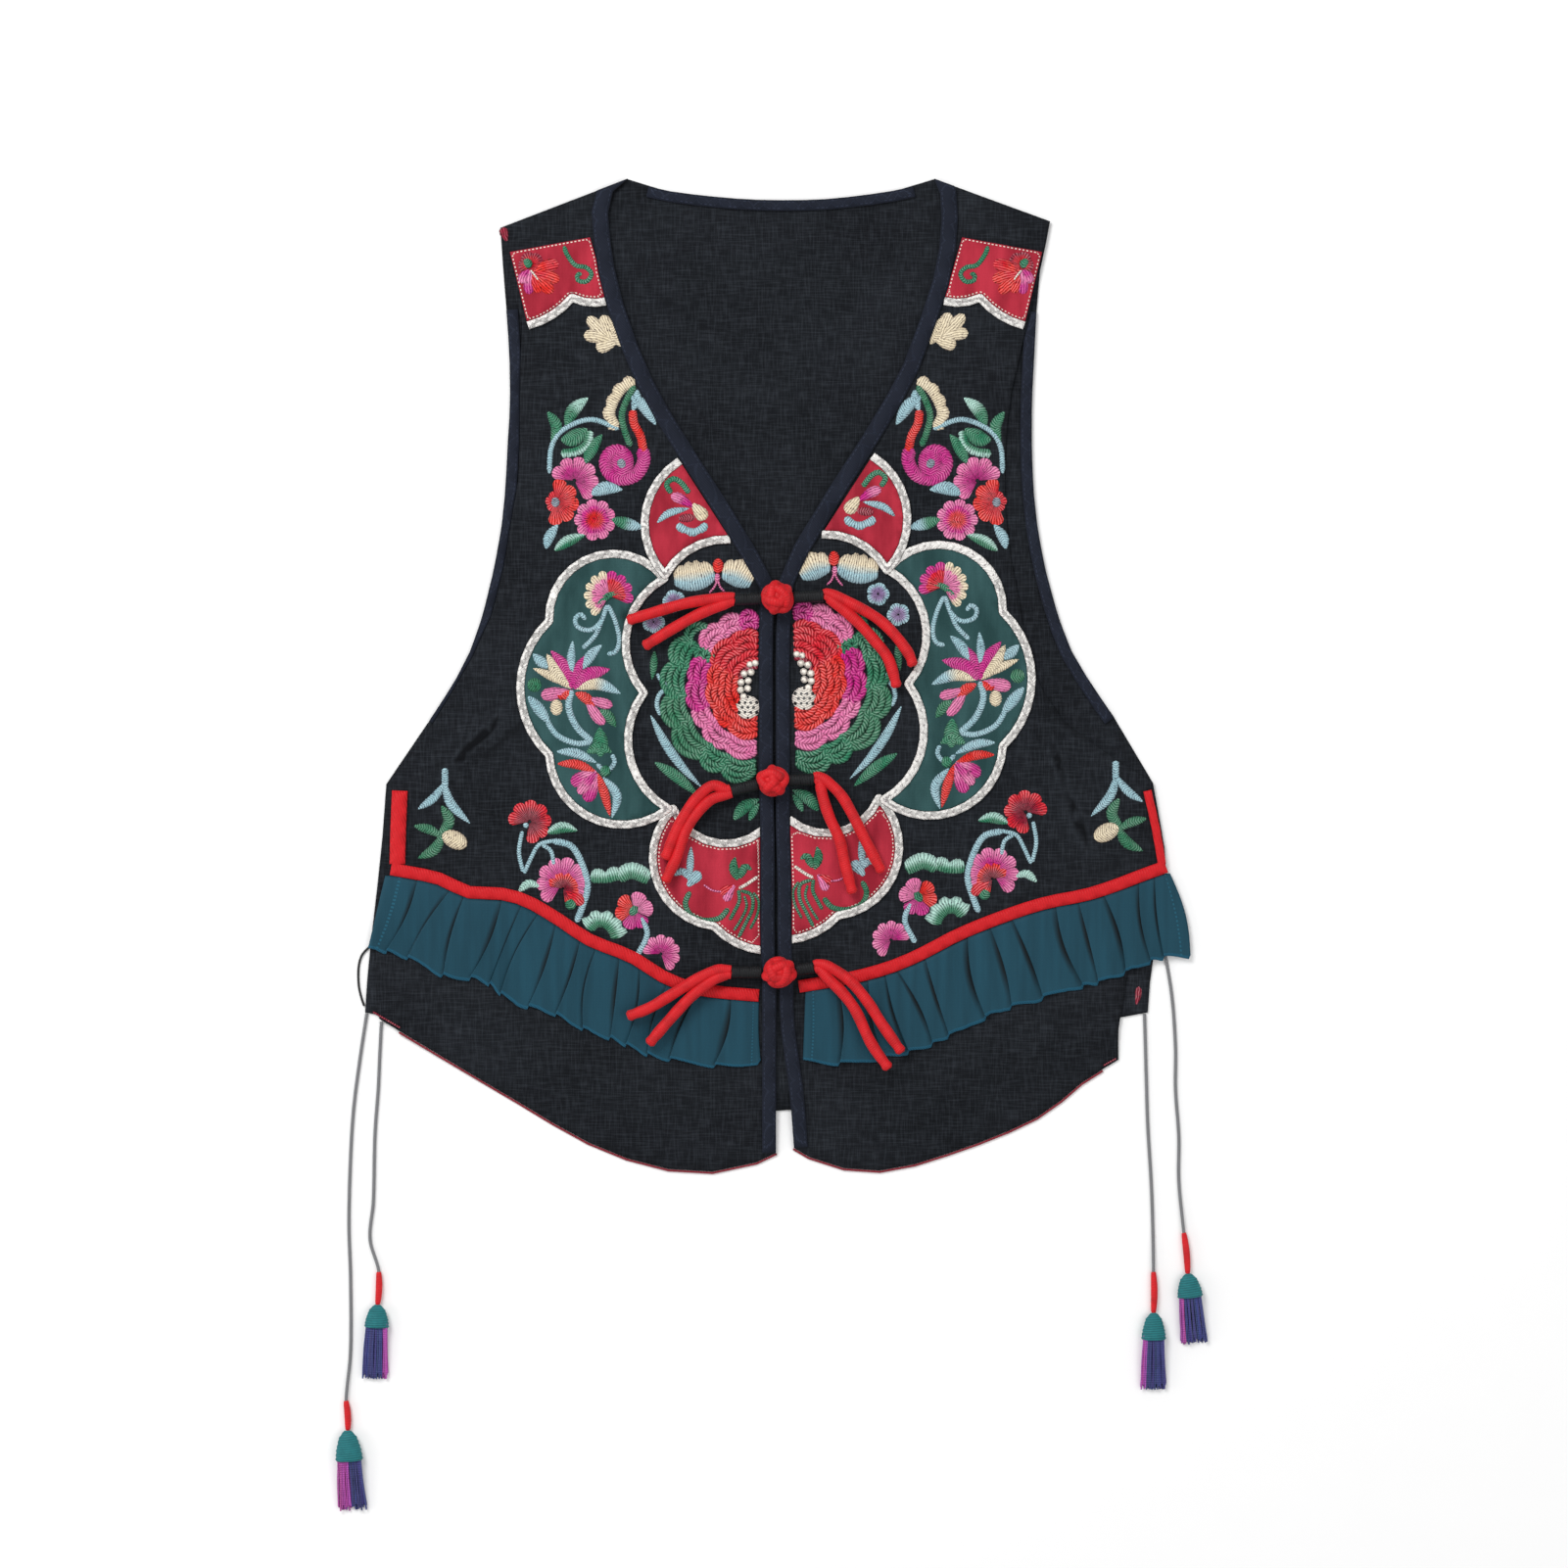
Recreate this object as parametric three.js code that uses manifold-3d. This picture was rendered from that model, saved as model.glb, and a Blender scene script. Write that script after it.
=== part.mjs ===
// Embroidered waistcoat lying flat on its back panel, with its fronts closed by knot buttons.
// Millimetres. X runs to the right as one looks down on it, Y toward the collar, and Z up
// from the surface it lies on.

import * as THREE from "three";
import { mergeVertices } from "three/addons/utils/BufferGeometryUtils.js";
import Module from "manifold-3d";

const wasm = await Module();
wasm.setup();

// ---------------------------------------------------------------- driving dimensions
const CLOTH = 1.2;                        // wall of the linen panels
const GAP = 0.3;                          // between layers and at seams
const TRIM = 1.0;                         // wall of bands, patches, tapes and ruffles
const FRONT_LIFT = CLOTH + GAP;           // underside of a front that lies on the back
const TRIM_LIFT = FRONT_LIFT + CLOTH + GAP;   // underside of what is sewn on a front
const NECK_BAND = 10;                     // width of the binding round the neck opening
const PLACKET_BAND = 8.5;                 // width of the same strip down the opening
const BACK_BAND = 6.5;                    // width of the binding on the back neck
const ARMHOLE_BAND = 7;
const HEM_TAPE = 7.6;                     // red tape above each ruffle
const EDGING = 4.8;                       // white braid round the patches
const EDGING_WALL = 1.4;
const PEONY_WALL = 1.4;                   // padded flower halves beside the opening
const PIPING = 1.2;
const HEM_DEPTH = 61;                     // how far the back hem curves below its corners
const FRONT_DROP = { from: 4, over: 28 }; // a front comes down to the surface past that hem
const BUTTON_HALF_HEIGHT = 8;
const FROG_HEIGHT = 8.8;                  // centre line of the frogs' sleeves and tails
const SLEEVE_RADIUS = 3.9;
const TAIL_RADIUS = 3.6;
const TIE_RADIUS = 1;
const TIE_SLEEVE_RADIUS = 2.1;
const LOOP_RADIUS = 0.7;
const CORD_STEP = { tail: 10, tie: 13, loop: 7 };   // length of a tube's straight stretches
const MIRROR_X = -1;                      // centre line between the two fronts' patches
const CUTTER = { height: 12, reach: 20 }; // of a solid that clears a seam through other cloth
const ROW = { panel: 24, skirt: 15, back: 30, band: 16, sideTape: 12, patch: 9 };   // mesh spacings

// ---------------------------------------------------------------- finishes
const finish = (color, roughness) => new THREE.MeshStandardMaterial({ color, roughness, metalness: 0 });
const FINISH = {
  linen: finish(0x1b1d22, 0.9),
  band: finish(0x161b2c, 0.85),
  tape: finish(0xb01222, 0.7),
  crimson: finish(0x8e1030, 0.85),
  green: finish(0x123a2c, 0.85),
  braid: finish(0xe6e4dc, 0.8),
  chiffon: finish(0x2a5a68, 0.6),
  peony: finish(0xb52a5c, 0.55),
  knot: finish(0xc0131f, 0.55),
  whipping: finish(0x101014, 0.6),
  tieSleeve: finish(0xc41a24, 0.6),
  tassel: finish(0x6f4a8e, 0.6),
};

// ---------------------------------------------------------------- small helpers
const flat = (x, y) => new THREE.Vector2(x, y);

function table(columns, rows) {
  return rows.map((row) => Object.fromEntries(columns.map((name, k) => [name, row[k]])));
}

function smoothStep(value) {
  const t = THREE.MathUtils.clamp(value, 0, 1);
  return t * t * (3 - 2 * t);
}

// Evenly spaced points on one smooth line through a few given ones.
function smoothLine(points, spacing) {
  const given = points.map(([x, y, z = 0]) => new THREE.Vector3(x, y, z));
  const curve = new THREE.CatmullRomCurve3(given, false, "centripetal");
  return curve.getSpacedPoints(Math.max(2, Math.round(curve.getLength() / spacing)));
}

// The edge of a line of points, moved sideways: to the right of its direction when
// `distance` is positive.
function moveAside(points, distance) {
  return points.map((point, k) => {
    const before = points[Math.max(k - 1, 0)];
    const after = points[Math.min(k + 1, points.length - 1)];
    const along = flat(after.x - before.x, after.y - before.y).normalize();
    const reach = typeof distance === "function" ? distance(point) : distance;
    return flat(point.x + along.y * reach, point.y - along.x * reach);
  });
}

// ---------------------------------------------------------------- solids
function bareGeometry(geometry) {
  const bare = geometry.index ? geometry.toNonIndexed() : geometry.clone();
  bare.deleteAttribute("normal");
  bare.deleteAttribute("uv");
  return mergeVertices(bare, 1e-4);
}

function toSolid(geometry) {
  const merged = bareGeometry(geometry);
  return new wasm.Manifold(new wasm.Mesh({
    numProp: 3,
    vertProperties: Float32Array.from(merged.attributes.position.array),
    triVerts: Uint32Array.from(merged.index.array),
  }));
}

function fromSolid(solid) {
  const mesh = solid.getMesh();
  const geometry = new THREE.BufferGeometry();
  geometry.setAttribute("position", new THREE.BufferAttribute(mesh.vertProperties, 3));
  geometry.setIndex(new THREE.BufferAttribute(mesh.triVerts, 1));
  return geometry;
}

const joined = (geometries) => geometries.map(toSolid).reduce((whole, part) => whole.add(part));

// A closed wall of cloth over a grid of plan points: `under` gives the height of its
// underside at a point, and the wall's top is the same surface, moved up.
function clothWall(grid, under, thickness) {
  const rows = grid.length;
  const across = grid[0].length;
  const positions = [];
  for (const rise of [0, thickness]) {
    for (const [i, row] of grid.entries()) {
      for (const [j, point] of row.entries()) {
        positions.push(point.x, point.y, under(point.x, point.y, i, j) + rise);
      }
    }
  }
  const at = (level, i, j) => (level * rows + i) * across + j;
  const border = [];
  for (let j = 0; j < across - 1; j += 1) border.push([0, j]);
  for (let i = 0; i < rows - 1; i += 1) border.push([i, across - 1]);
  for (let j = across - 1; j > 0; j -= 1) border.push([rows - 1, j]);
  for (let i = rows - 1; i > 0; i -= 1) border.push([i, 0]);
  const outline = border.map(([i, j]) => grid[i][j]);
  const clockwise = THREE.ShapeUtils.area(outline) < 0;

  const triangles = [];
  const quad = (a, b, c, d) => {
    triangles.push(...(clockwise ? [c, b, a, d, c, a] : [a, b, c, a, c, d]));
  };
  for (let i = 0; i < rows - 1; i += 1) {
    for (let j = 0; j < across - 1; j += 1) {
      quad(at(1, i, j), at(1, i, j + 1), at(1, i + 1, j + 1), at(1, i + 1, j));
      quad(at(0, i + 1, j), at(0, i + 1, j + 1), at(0, i, j + 1), at(0, i, j));
    }
  }
  for (const [k, here] of border.entries()) {
    const next = border[(k + 1) % border.length];
    quad(at(0, ...here), at(0, ...next), at(1, ...next), at(1, ...here));
  }
  const geometry = new THREE.BufferGeometry();
  geometry.setAttribute("position", new THREE.Float32BufferAttribute(positions, 3));
  geometry.setIndex(triangles);
  return geometry;
}

// A strip of cloth along an edge, which keeps the edge's own points on one side.
function borderStrip(edge, width, under, thickness = TRIM) {
  const other = moveAside(edge, width);
  return clothWall(edge.map((point, k) => [flat(point.x, point.y), other[k]]), under, thickness);
}

// A strip of cloth with its middle on a line.
function centredStrip(line, width, under, thickness = TRIM) {
  const right = moveAside(line, width / 2);
  const left = moveAside(line, -width / 2);
  return clothWall(line.map((_, k) => [left[k], right[k]]), under, thickness);
}

// A flat plate of a given outline.
function plate(outline, under, thickness) {
  const shape = new THREE.Shape(outline);
  const geometry = new THREE.ExtrudeGeometry(shape, { depth: thickness, bevelEnabled: false });
  geometry.translate(0, 0, under);
  return geometry;
}

// A round tube along a line of hand-placed points.
function tube(points, radius, sides, spacing) {
  const section = new THREE.Shape();
  for (let k = 0; k < sides; k += 1) {
    const turn = (2 * Math.PI * (k + 0.5)) / sides;
    const place = [radius * Math.cos(turn), radius * Math.sin(turn)];
    if (k === 0) section.moveTo(...place);
    else section.lineTo(...place);
  }
  const route = points.map((point) => new THREE.Vector3(...point));
  const curve = new THREE.CatmullRomCurve3(route, false, "centripetal");
  const steps = Math.max(1, Math.round(curve.getLength() / spacing));
  return new THREE.ExtrudeGeometry(section, { steps, extrudePath: curve, curveSegments: 1 });
}

const straightTube = (from, to, radius, sides) => tube([from, to], radius, sides, Infinity);

// ---------------------------------------------------------------- panels
// Each run of sections goes down the panel between two places where its edges turn a corner.
const SECTION = ["innerX", "innerY", "outerX", "outerY"];
const LEFT_FRONT = {
  neckline: table(SECTION, [
    [-92, 304, -170, 274],
    [-103, 293, -167, 256],
    [-103, 272, -162, 236],
    [-100, 249, -156.5, 215],
    [-92, 219, -158, 185],
    [-79, 186, -158, 152],
    [-67, 163, -159, 119],
    [-44, 126, -165, 85],
    [-16, 82, -172, 46],
    [-2, 55, -187, 11],
  ]),
  armhole: table(SECTION, [
    [-2, 55, -187, 11],
    [-3, 23, -207, -23],
    [-3, -19, -222, -46],
    [-3, -67, -239, -67],
  ]),
  skirt: table(SECTION, [
    [-3, -67, -239, -67],
    [-2, -97, -238, -94],
    [-2, -130, -239, -120],
    [-2, -160, -245, -146],
    [-1, -190, -247, -172],
    [-1, -217, -246, -190],
    [-1, -253, -246, -203],
    [-1, -293, -244, -211],
  ]),
};
const RIGHT_FRONT = {
  neckline: table(SECTION, [
    [96, 304, 167, 278],
    [100, 293, 164, 262],
    [100, 272, 160, 244],
    [97, 249, 155, 223],
    [88, 220, 150, 203],
    [76, 188, 143, 172],
    [64, 166, 140, 146],
    [41, 129, 139, 113],
    [13, 85, 142, 77],
    [1, 58, 148, 46],
  ]),
  armhole: table(SECTION, [
    [1, 58, 148, 46],
    [-1, 23, 155, 8],
    [-1, -19, 175, -28],
    [-1, -67, 230, -66],
  ]),
  skirt: table(SECTION, [
    [-1, -67, 230, -66],
    [-1, -97, 235, -94],
    [0, -130, 238, -118],
    [0, -160, 230, -148],
    [1, -190, 215, -178],
    [2, -217, 212, -199],
    [7, -253, 209, -217],
    [10, -290, 209, -236],
  ]),
};
const BACK = {
  armhole: table(SECTION, [
    [-170, 274, 166, 278],
    [-168, 244, 160, 242],
    [-165, 206, 158, 206],
    [-164, 170, 156, 170],
    [-166, 134, 156, 134],
    [-168, 101, 158, 101],
    [-173, 70, 163, 70],
    [-182, 33, 173, 33],
    [-192, 7, 184, 7],
    [-207, -18, 200, -16],
    [-240, -67, 230, -66],
  ]),
  side: table(SECTION, [
    [-240, -67, 230, -66],
    [-242, -94, 235, -92],
    [-244, -120, 238, -118],
    [-248, -145, 235, -145],
    [-250, -172, 230, -176],
    [-252, -190, 228, -193],
    [-253, -207, 227, -208],
  ]),
};
const POINT = ["x", "y"];
const LEFT_HEM = table(POINT, [
  [-1, -293], [-25, -303], [-67, -303], [-111, -289], [-162, -260], [-199, -238], [-244, -211],
]);
const RIGHT_HEM = table(POINT, [
  [10, -290], [27, -299], [62, -304], [106, -293], [163, -269], [185, -251], [209, -236],
]);
const NECKLINE = table(POINT, [
  [-92, 304], [-74, 298], [-26, 292], [2, 291], [34, 292], [82, 299], [96, 304],
]);

// Soft folds in the fronts, as ridges from one point to another.
const FOLD = ["fromX", "fromY", "toX", "toY", "height", "width"];
const FOLDS = table(FOLD, [
  [-178, -31, -210, -64, 2.6, 13],
  [174, -30, 204, -52, 2.2, 12],
  [176, -52, 190, -102, 1.8, 11],
]);

const backLeft = BACK.side.at(-1);
function backHem(x) {
  const width = backLeft.outerX - backLeft.innerX;
  const along = THREE.MathUtils.clamp((x - backLeft.innerX) / width, 0, 1);
  return backLeft.innerY - HEM_DEPTH * Math.sin(Math.PI * along) ** 1.5;
}

function foldHeight(x, y) {
  let height = 0;
  for (const fold of FOLDS) {
    const start = flat(fold.fromX, fold.fromY);
    const way = flat(fold.toX, fold.toY).sub(start);
    const along = flat(x, y).sub(start).dot(way) / way.lengthSq();
    const t = THREE.MathUtils.clamp(along, 0, 1);
    const off = flat(x, y).distanceTo(start.clone().addScaledVector(way, t));
    const across = Math.max(0, 1 - (off / fold.width) ** 2) ** 2;
    height += fold.height * across * Math.sin(Math.PI * (0.15 + 0.7 * t));
  }
  return height;
}

function frontUnder(x, y) {
  const past = backHem(x) - y;
  const dropped = smoothStep((past - FRONT_DROP.from) / FRONT_DROP.over);
  return FRONT_LIFT * (1 - dropped) + foldHeight(x, y);
}
const onFront = (x, y) => frontUnder(x, y) + CLOTH + GAP;

// Fine sections of a panel: both edges are smooth within a run.
function fineSections(runs, spacing) {
  const sections = [];
  for (const rows of runs) {
    const edge = (side) => new THREE.CatmullRomCurve3(
      rows.map((row) => new THREE.Vector3(row[`${side}X`], row[`${side}Y`], 0)), false, "centripetal");
    const inner = edge("inner");
    const outer = edge("outer");
    const steps = Math.ceil((inner.getLength() + outer.getLength()) / 2 / spacing);
    for (let k = sections.length ? 1 : 0; k <= steps; k += 1) {
      sections.push({ inner: inner.getPoint(k / steps), outer: outer.getPoint(k / steps) });
    }
  }
  return sections;
}

// A panel's plan points. Its sections are straight from edge to edge, and bend into the
// shape of the top edge and the hem over the given reaches.
function panelGrid(sections, columns, { top, topReach = 1, hem, hemReach = 1 }) {
  const first = sections[0];
  const last = sections.at(-1);
  const drop = (section, end) => section.inner.distanceTo(end.inner);
  return sections.map((section) => columns.map((u) => {
    const point = section.inner.clone().lerp(section.outer, u);
    if (top) {
      const share = smoothStep(1 - drop(section, first) / topReach);
      point.add(top(u).sub(first.inner.clone().lerp(first.outer, u)).multiplyScalar(share));
    }
    const share = smoothStep(1 - drop(section, last) / hemReach);
    point.add(hem(u).sub(last.inner.clone().lerp(last.outer, u)).multiplyScalar(share));
    return flat(point.x, point.y);
  }));
}

function curveThrough(rows) {
  const points = rows.map((row) => new THREE.Vector3(row.x, row.y, 0));
  return new THREE.CatmullRomCurve3(points, false, "centripetal");
}

// One narrow column lies under the band, and the rest are closer toward the side's folds.
const BAND_COLUMN = 0.05;
const FRONT_CELLS = 11;
const frontColumns = [0];
for (let k = 0; k <= FRONT_CELLS; k += 1) {
  frontColumns.push(1 - (1 - BAND_COLUMN) * (1 - k / FRONT_CELLS) ** 1.2);
}
// How far up or down a panel the shapes of its hem and top edge are felt.
const BEND_REACH = { frontHem: 110, backHem: 150, backTop: 90 };

function frontPanel(front, hemRows) {
  const sections = [
    ...fineSections([front.neckline, front.armhole], ROW.panel),
    ...fineSections([front.skirt], ROW.skirt).slice(1),
  ];
  const hem = curveThrough(hemRows);
  const grid = panelGrid(sections, frontColumns, {
    hem: (u) => hem.getPointAt(u), hemReach: BEND_REACH.frontHem,
  });
  return { grid, wall: clothWall(grid, frontUnder, CLOTH) };
}

function backPanel() {
  const sections = fineSections([BACK.armhole, BACK.side], ROW.back);
  const neck = curveThrough(NECKLINE);
  const { innerX, innerY, outerX, outerY } = BACK.armhole[0];
  const leftTip = new THREE.Vector3(innerX, innerY);
  const rightTip = new THREE.Vector3(outerX, outerY);
  const leftNeck = neck.getPoint(0);
  const rightNeck = neck.getPoint(1);
  const chord = rightTip.x - leftTip.x;
  const neckStart = (leftNeck.x - leftTip.x) / chord;
  const neckEnd = (rightNeck.x - leftTip.x) / chord;
  const top = (u) => {
    if (u <= neckStart) return leftTip.clone().lerp(leftNeck, u / neckStart);
    if (u >= neckEnd) return rightNeck.clone().lerp(rightTip, (u - neckEnd) / (1 - neckEnd));
    return neck.getPointAt((u - neckStart) / (neckEnd - neckStart));
  };
  const spread = (from, to, cells) => (
    Array.from({ length: cells }, (_, k) => THREE.MathUtils.lerp(from, to, k / cells)));
  const columns = [
    ...spread(0, neckStart, 3), ...spread(neckStart, neckEnd, 8), ...spread(neckEnd, 1, 3), 1,
  ];
  const hem = (u) => {
    const x = THREE.MathUtils.lerp(backLeft.innerX, backLeft.outerX, u);
    return new THREE.Vector3(x, backHem(x), 0);
  };
  const grid = panelGrid(sections, columns, {
    top, topReach: BEND_REACH.backTop, hem, hemReach: BEND_REACH.backHem,
  });
  return { neck, grid, wall: clothWall(grid, () => 0, CLOTH) };
}

const back = backPanel();
const fronts = {
  left: frontPanel(LEFT_FRONT, LEFT_HEM),
  right: frontPanel(RIGHT_FRONT, RIGHT_HEM),
};

// ---------------------------------------------------------------- bands, piping and tapes
// One strip follows a front's inner edge, round the neck and down the opening. It is cut off
// in line with the shoulder seam.
const V_POINT_Y = 58;
const NARROWING = 40;                     // length over which the band narrows at the V
function frontBand(side, thickness = TRIM, under = onFront, extra = 0) {
  const edge = fronts[side].grid.map((row) => row[0]);
  const width = ({ y }) => {
    const share = smoothStep((V_POINT_Y + NARROWING / 2 - y) / NARROWING);
    return THREE.MathUtils.lerp(NECK_BAND, PLACKET_BAND, share) + extra;
  };
  const turn = side === "left" ? 1 : -1;
  const strip = borderStrip(edge, (point) => turn * width(point), under, thickness);
  const beyondSeam = borderStrip(fronts[side].grid[0], turn * CUTTER.reach, () => 0, CUTTER.height);
  return toSolid(strip).subtract(toSolid(beyondSeam));
}

function hemPiping(side) {
  const hem = fronts[side].grid.at(-1).slice(0, -1);
  const outward = side === "left" ? -1 : 1;
  const line = moveAside(hem, outward * (GAP + PIPING / 2));
  return centredStrip(line, PIPING, frontUnder, PIPING);
}

function backNeckBand() {
  const edge = back.neck.getSpacedPoints(14).slice(1, -1);
  return borderStrip(edge, BACK_BAND, () => FRONT_LIFT, TRIM);
}

// Bindings lie along the back's armhole edges, where they show beyond the narrower fronts.
const ARMHOLE_REACH = { left: { from: 240, to: -56 }, right: { from: 224, to: -60 } };
function armholeBand(side) {
  const { from, to } = ARMHOLE_REACH[side];
  const last = side === "left" ? 0 : -1;
  const edge = back.grid.map((row) => row.at(last)).filter(({ y }) => y < from && y > to);
  const inward = side === "left" ? -1 : 1;
  const line = smoothLine(edge.map(({ x, y }) => [x, y]), ROW.band);
  const band = borderStrip(line, inward * ARMHOLE_BAND, () => FRONT_LIFT);
  const frontEdge = moveAside(fronts[side].grid.map((row) => row.at(-1)), -inward * GAP);
  const cover = borderStrip(frontEdge, inward * CUTTER.reach, () => 0, CUTTER.height);
  return toSolid(band).subtract(toSolid(cover));
}

const TAPE = ["x", "y"];
const LEFT_TAPE = table(TAPE, [
  [-237, -119], [-207, -125], [-190, -133], [-170, -134], [-155, -138], [-134, -150], [-116, -162],
  [-89, -173], [-70, -185], [-52, -192], [-35, -194.5], [-11.5, -196.5],
]);
const RIGHT_TAPE = table(TAPE, [
  [13, -191], [31, -188], [48, -185], [72, -178], [90, -170], [110, -159.5], [137, -148.5],
  [163, -140], [190, -134.5], [207, -129], [224, -122.5], [238, -117.5],
]);
const SIDE_TAPE = {
  left: { line: [[-231.5, -71], [-232.5, -95], [-233, -116]], width: 9.5 },
  right: { line: [[226.5, -71], [231.5, -93], [235.5, -116]], width: 5 },
};
const hemTape = { left: curveThrough(LEFT_TAPE), right: curveThrough(RIGHT_TAPE) };

const hemTapeStrip = (side, width, under, thickness) => (
  centredStrip(hemTape[side].getSpacedPoints(24), width, () => under, thickness));

function redTape(side) {
  const along = hemTapeStrip(side, HEM_TAPE, TRIM_LIFT, TRIM);
  const { line, width } = SIDE_TAPE[side];
  const down = centredStrip(smoothLine(line, ROW.sideTape), width, onFront);
  return joined([along, down]);
}

// ---------------------------------------------------------------- ruffles
// A row for each crest and hollow, from under the tape down to the free edge.
const WAVE = ["topX", "hemX", "hemY", "lift"];
const LEFT_WAVES = table(WAVE, [
  [-237, -247, -168, 0.5], [-220, -238, -171, 0], [-203, -227, -173, 3], [-198, -214, -180, 0.3],
  [-193, -203, -187, 2.6], [-183, -196, -188, 0], [-169, -187, -184, 3], [-163, -181, -186, 0.3],
  [-157, -176, -189, 2.6], [-152, -173, -195, 0], [-147, -166, -199, 3], [-141, -160, -203, 0.3],
  [-136, -152, -205, 2.6], [-129, -144, -205, 0], [-121, -136, -208, 3], [-116, -129, -213, 0.3],
  [-112, -121, -217, 2.6], [-104, -113, -220, 0], [-97, -104, -223, 3], [-91, -98, -225, 0.3],
  [-85, -91, -227, 2.6], [-68, -81, -234, 0], [-50, -67, -236, 3], [-40, -54, -238, 0.3],
  [-29, -39, -240, 2.6], [-20, -25, -241, 0], [-11.5, -11, -237, 0.5],
]);
const RIGHT_WAVES = table(WAVE, [
  [17, 16, -237, 0.5], [34, 33, -239, 0], [46, 50, -238, 2.4], [56, 66, -235, 0],
  [66, 80, -232, 2.8], [73, 92, -228, 0.3], [81, 98, -226, 3], [90, 105, -221, 0],
  [103, 116, -217, 2.8], [116, 125, -211, 0], [128, 139, -205, 2.8], [136, 150, -202, 0.3],
  [143, 161, -200, 3], [156, 170, -195, 0], [170, 183, -192, 2.8], [178, 190, -191, 0.3],
  [184, 197, -189, 3], [192, 205, -186, 0], [200, 213, -183, 2.8], [210, 221, -179, 0],
  [221, 230, -176, 3], [227, 235, -173, 0.3], [232, 241, -172, 2.6], [238, 252, -173, 0.5],
]);
const WAVES = { left: LEFT_WAVES, right: RIGHT_WAVES };
const RUFFLE_STEPS = 3;

function ruffle(side, waves) {
  const tape = hemTape[side].getSpacedPoints(80);
  const nearest = (x) => tape.reduce(
    (best, point) => (Math.abs(point.x - x) < Math.abs(best.x - x) ? point : best));
  const grid = [];
  for (let step = 0; step <= RUFFLE_STEPS; step += 1) {
    const v = step / RUFFLE_STEPS;
    grid.push(waves.map((wave) => flat(
      THREE.MathUtils.lerp(wave.topX, wave.hemX, v),
      THREE.MathUtils.lerp(nearest(wave.topX).y, wave.hemY, v),
    )));
  }
  const growth = (step) => (step / RUFFLE_STEPS) ** 0.8;
  const under = (x, y, step, column) => TRIM_LIFT + waves[column].lift * growth(step);
  const seam = toSolid(hemTapeStrip(side, HEM_TAPE + 2 * GAP, 0, CUTTER.height));
  return toSolid(clothWall(grid, under, TRIM)).subtract(seam);
}

// ---------------------------------------------------------------- patches and their edging
// A row for each corner of a patch, anticlockwise. `bulge` is how far the side that starts
// there stands out from its chord, and `edged` says that white braid runs along that side.
// `rise` is how much higher the patch sits on the right front.
const CORNER = ["x", "y", "bulge", "edged"];
const PATCHES = [
  {
    name: "shoulder_patch", finish: FINISH.crimson, rise: 0, corners: table(CORNER, [
      [-115, 268, 0, false], [-164, 259, 0, false], [-153, 214, 2.5, true],
      [-126, 231, 2, true], [-104, 229, 0, false],
    ]),
  },
  {
    name: "upper_petal", finish: FINISH.crimson, rise: 3, corners: table(CORNER, [
      [-60, 131, 16.8, true], [-69, 61, -6.6, true], [-29, 83, 0, false],
    ]),
  },
  {
    name: "side_lobe", finish: FINISH.green, rise: 5.5, corners: table(CORNER, [
      [-69.5, 59, 27.5, true], [-140, 33, 17.7, true], [-140, -49, 24.6, true],
      [-67, -82, -16.5, true], [-82, -11, -17, true],
    ]),
  },
  {
    name: "lower_petal", finish: FINISH.crimson, rise: 6.5, corners: table(CORNER, [
      [-64, -82, 24, true], [-39, -154, 3.3, true], [-8, -169, 0, false], [-9, -95, -14.5, true],
    ]),
  },
];
const PEONY = table(CORNER, [
  [-8, 41, 5, false], [-52, 28, 7, false], [-75, -22, 6, false],
  [-52, -68, 6, false], [-8, -88, 0, false],
]);
const PEONY_RISE = 5.5;

// The points of one side, its end left out.
function sidePoints(from, to, spacing) {
  const start = flat(from.x, from.y);
  const chord = flat(to.x, to.y).sub(start);
  const half = chord.length() / 2;
  const along = chord.clone().normalize();
  const outward = flat(along.y, -along.x);
  const sweep = 2 * Math.atan(Math.abs(from.bulge) / half);
  const length = sweep > 0.05 ? (2 * half * sweep) / Math.sin(sweep) : 2 * half;
  const steps = Math.max(1, Math.round(length / spacing));
  return Array.from({ length: steps }, (_, k) => {
    const t = k / steps;
    if (sweep <= 0.05) return start.clone().addScaledVector(chord, t);
    const radius = half / Math.sin(sweep);
    const turn = sweep * (2 * t - 1);
    return start.clone()
      .addScaledVector(along, half + radius * Math.sin(turn))
      .addScaledVector(outward, Math.sign(from.bulge) * radius * (Math.cos(turn) - Math.cos(sweep)));
  });
}

// Where a patch's point lies on the right front.
const mirrored = (point, rise) => flat(2 * MIRROR_X - point.x, point.y + rise);

function patchSides(corners, side, rise) {
  return corners.map((corner, k) => {
    const next = corners[(k + 1) % corners.length];
    const points = [...sidePoints(corner, next, ROW.patch), flat(next.x, next.y)];
    return side === "left" ? points : points.map((point) => mirrored(point, rise));
  });
}

const outlineOf = (sides) => sides.flatMap((points) => points.slice(0, -1));

// Braid along the edged sides, joined at the corners by round turns.
function braid(sides, corners, width, under, thickness) {
  const pieces = [];
  for (const [k, points] of sides.entries()) {
    const before = (k + corners.length - 1) % corners.length;
    if (!corners[k].edged) continue;
    pieces.push(centredStrip(points, width, () => under, thickness));
    if (!corners[before].edged) continue;
    const turn = new THREE.CylinderGeometry(width / 2, width / 2, thickness, 12);
    turn.rotateX(Math.PI / 2).translate(points[0].x, points[0].y, under + thickness / 2);
    pieces.push(turn);
  }
  return joined(pieces);
}

// What a patch keeps clear of: the strip round the neck and opening, with its seam gap.
const keepOut = {
  left: frontBand("left", CUTTER.height, () => 0, GAP),
  right: frontBand("right", CUTTER.height, () => 0, GAP),
};

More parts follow.
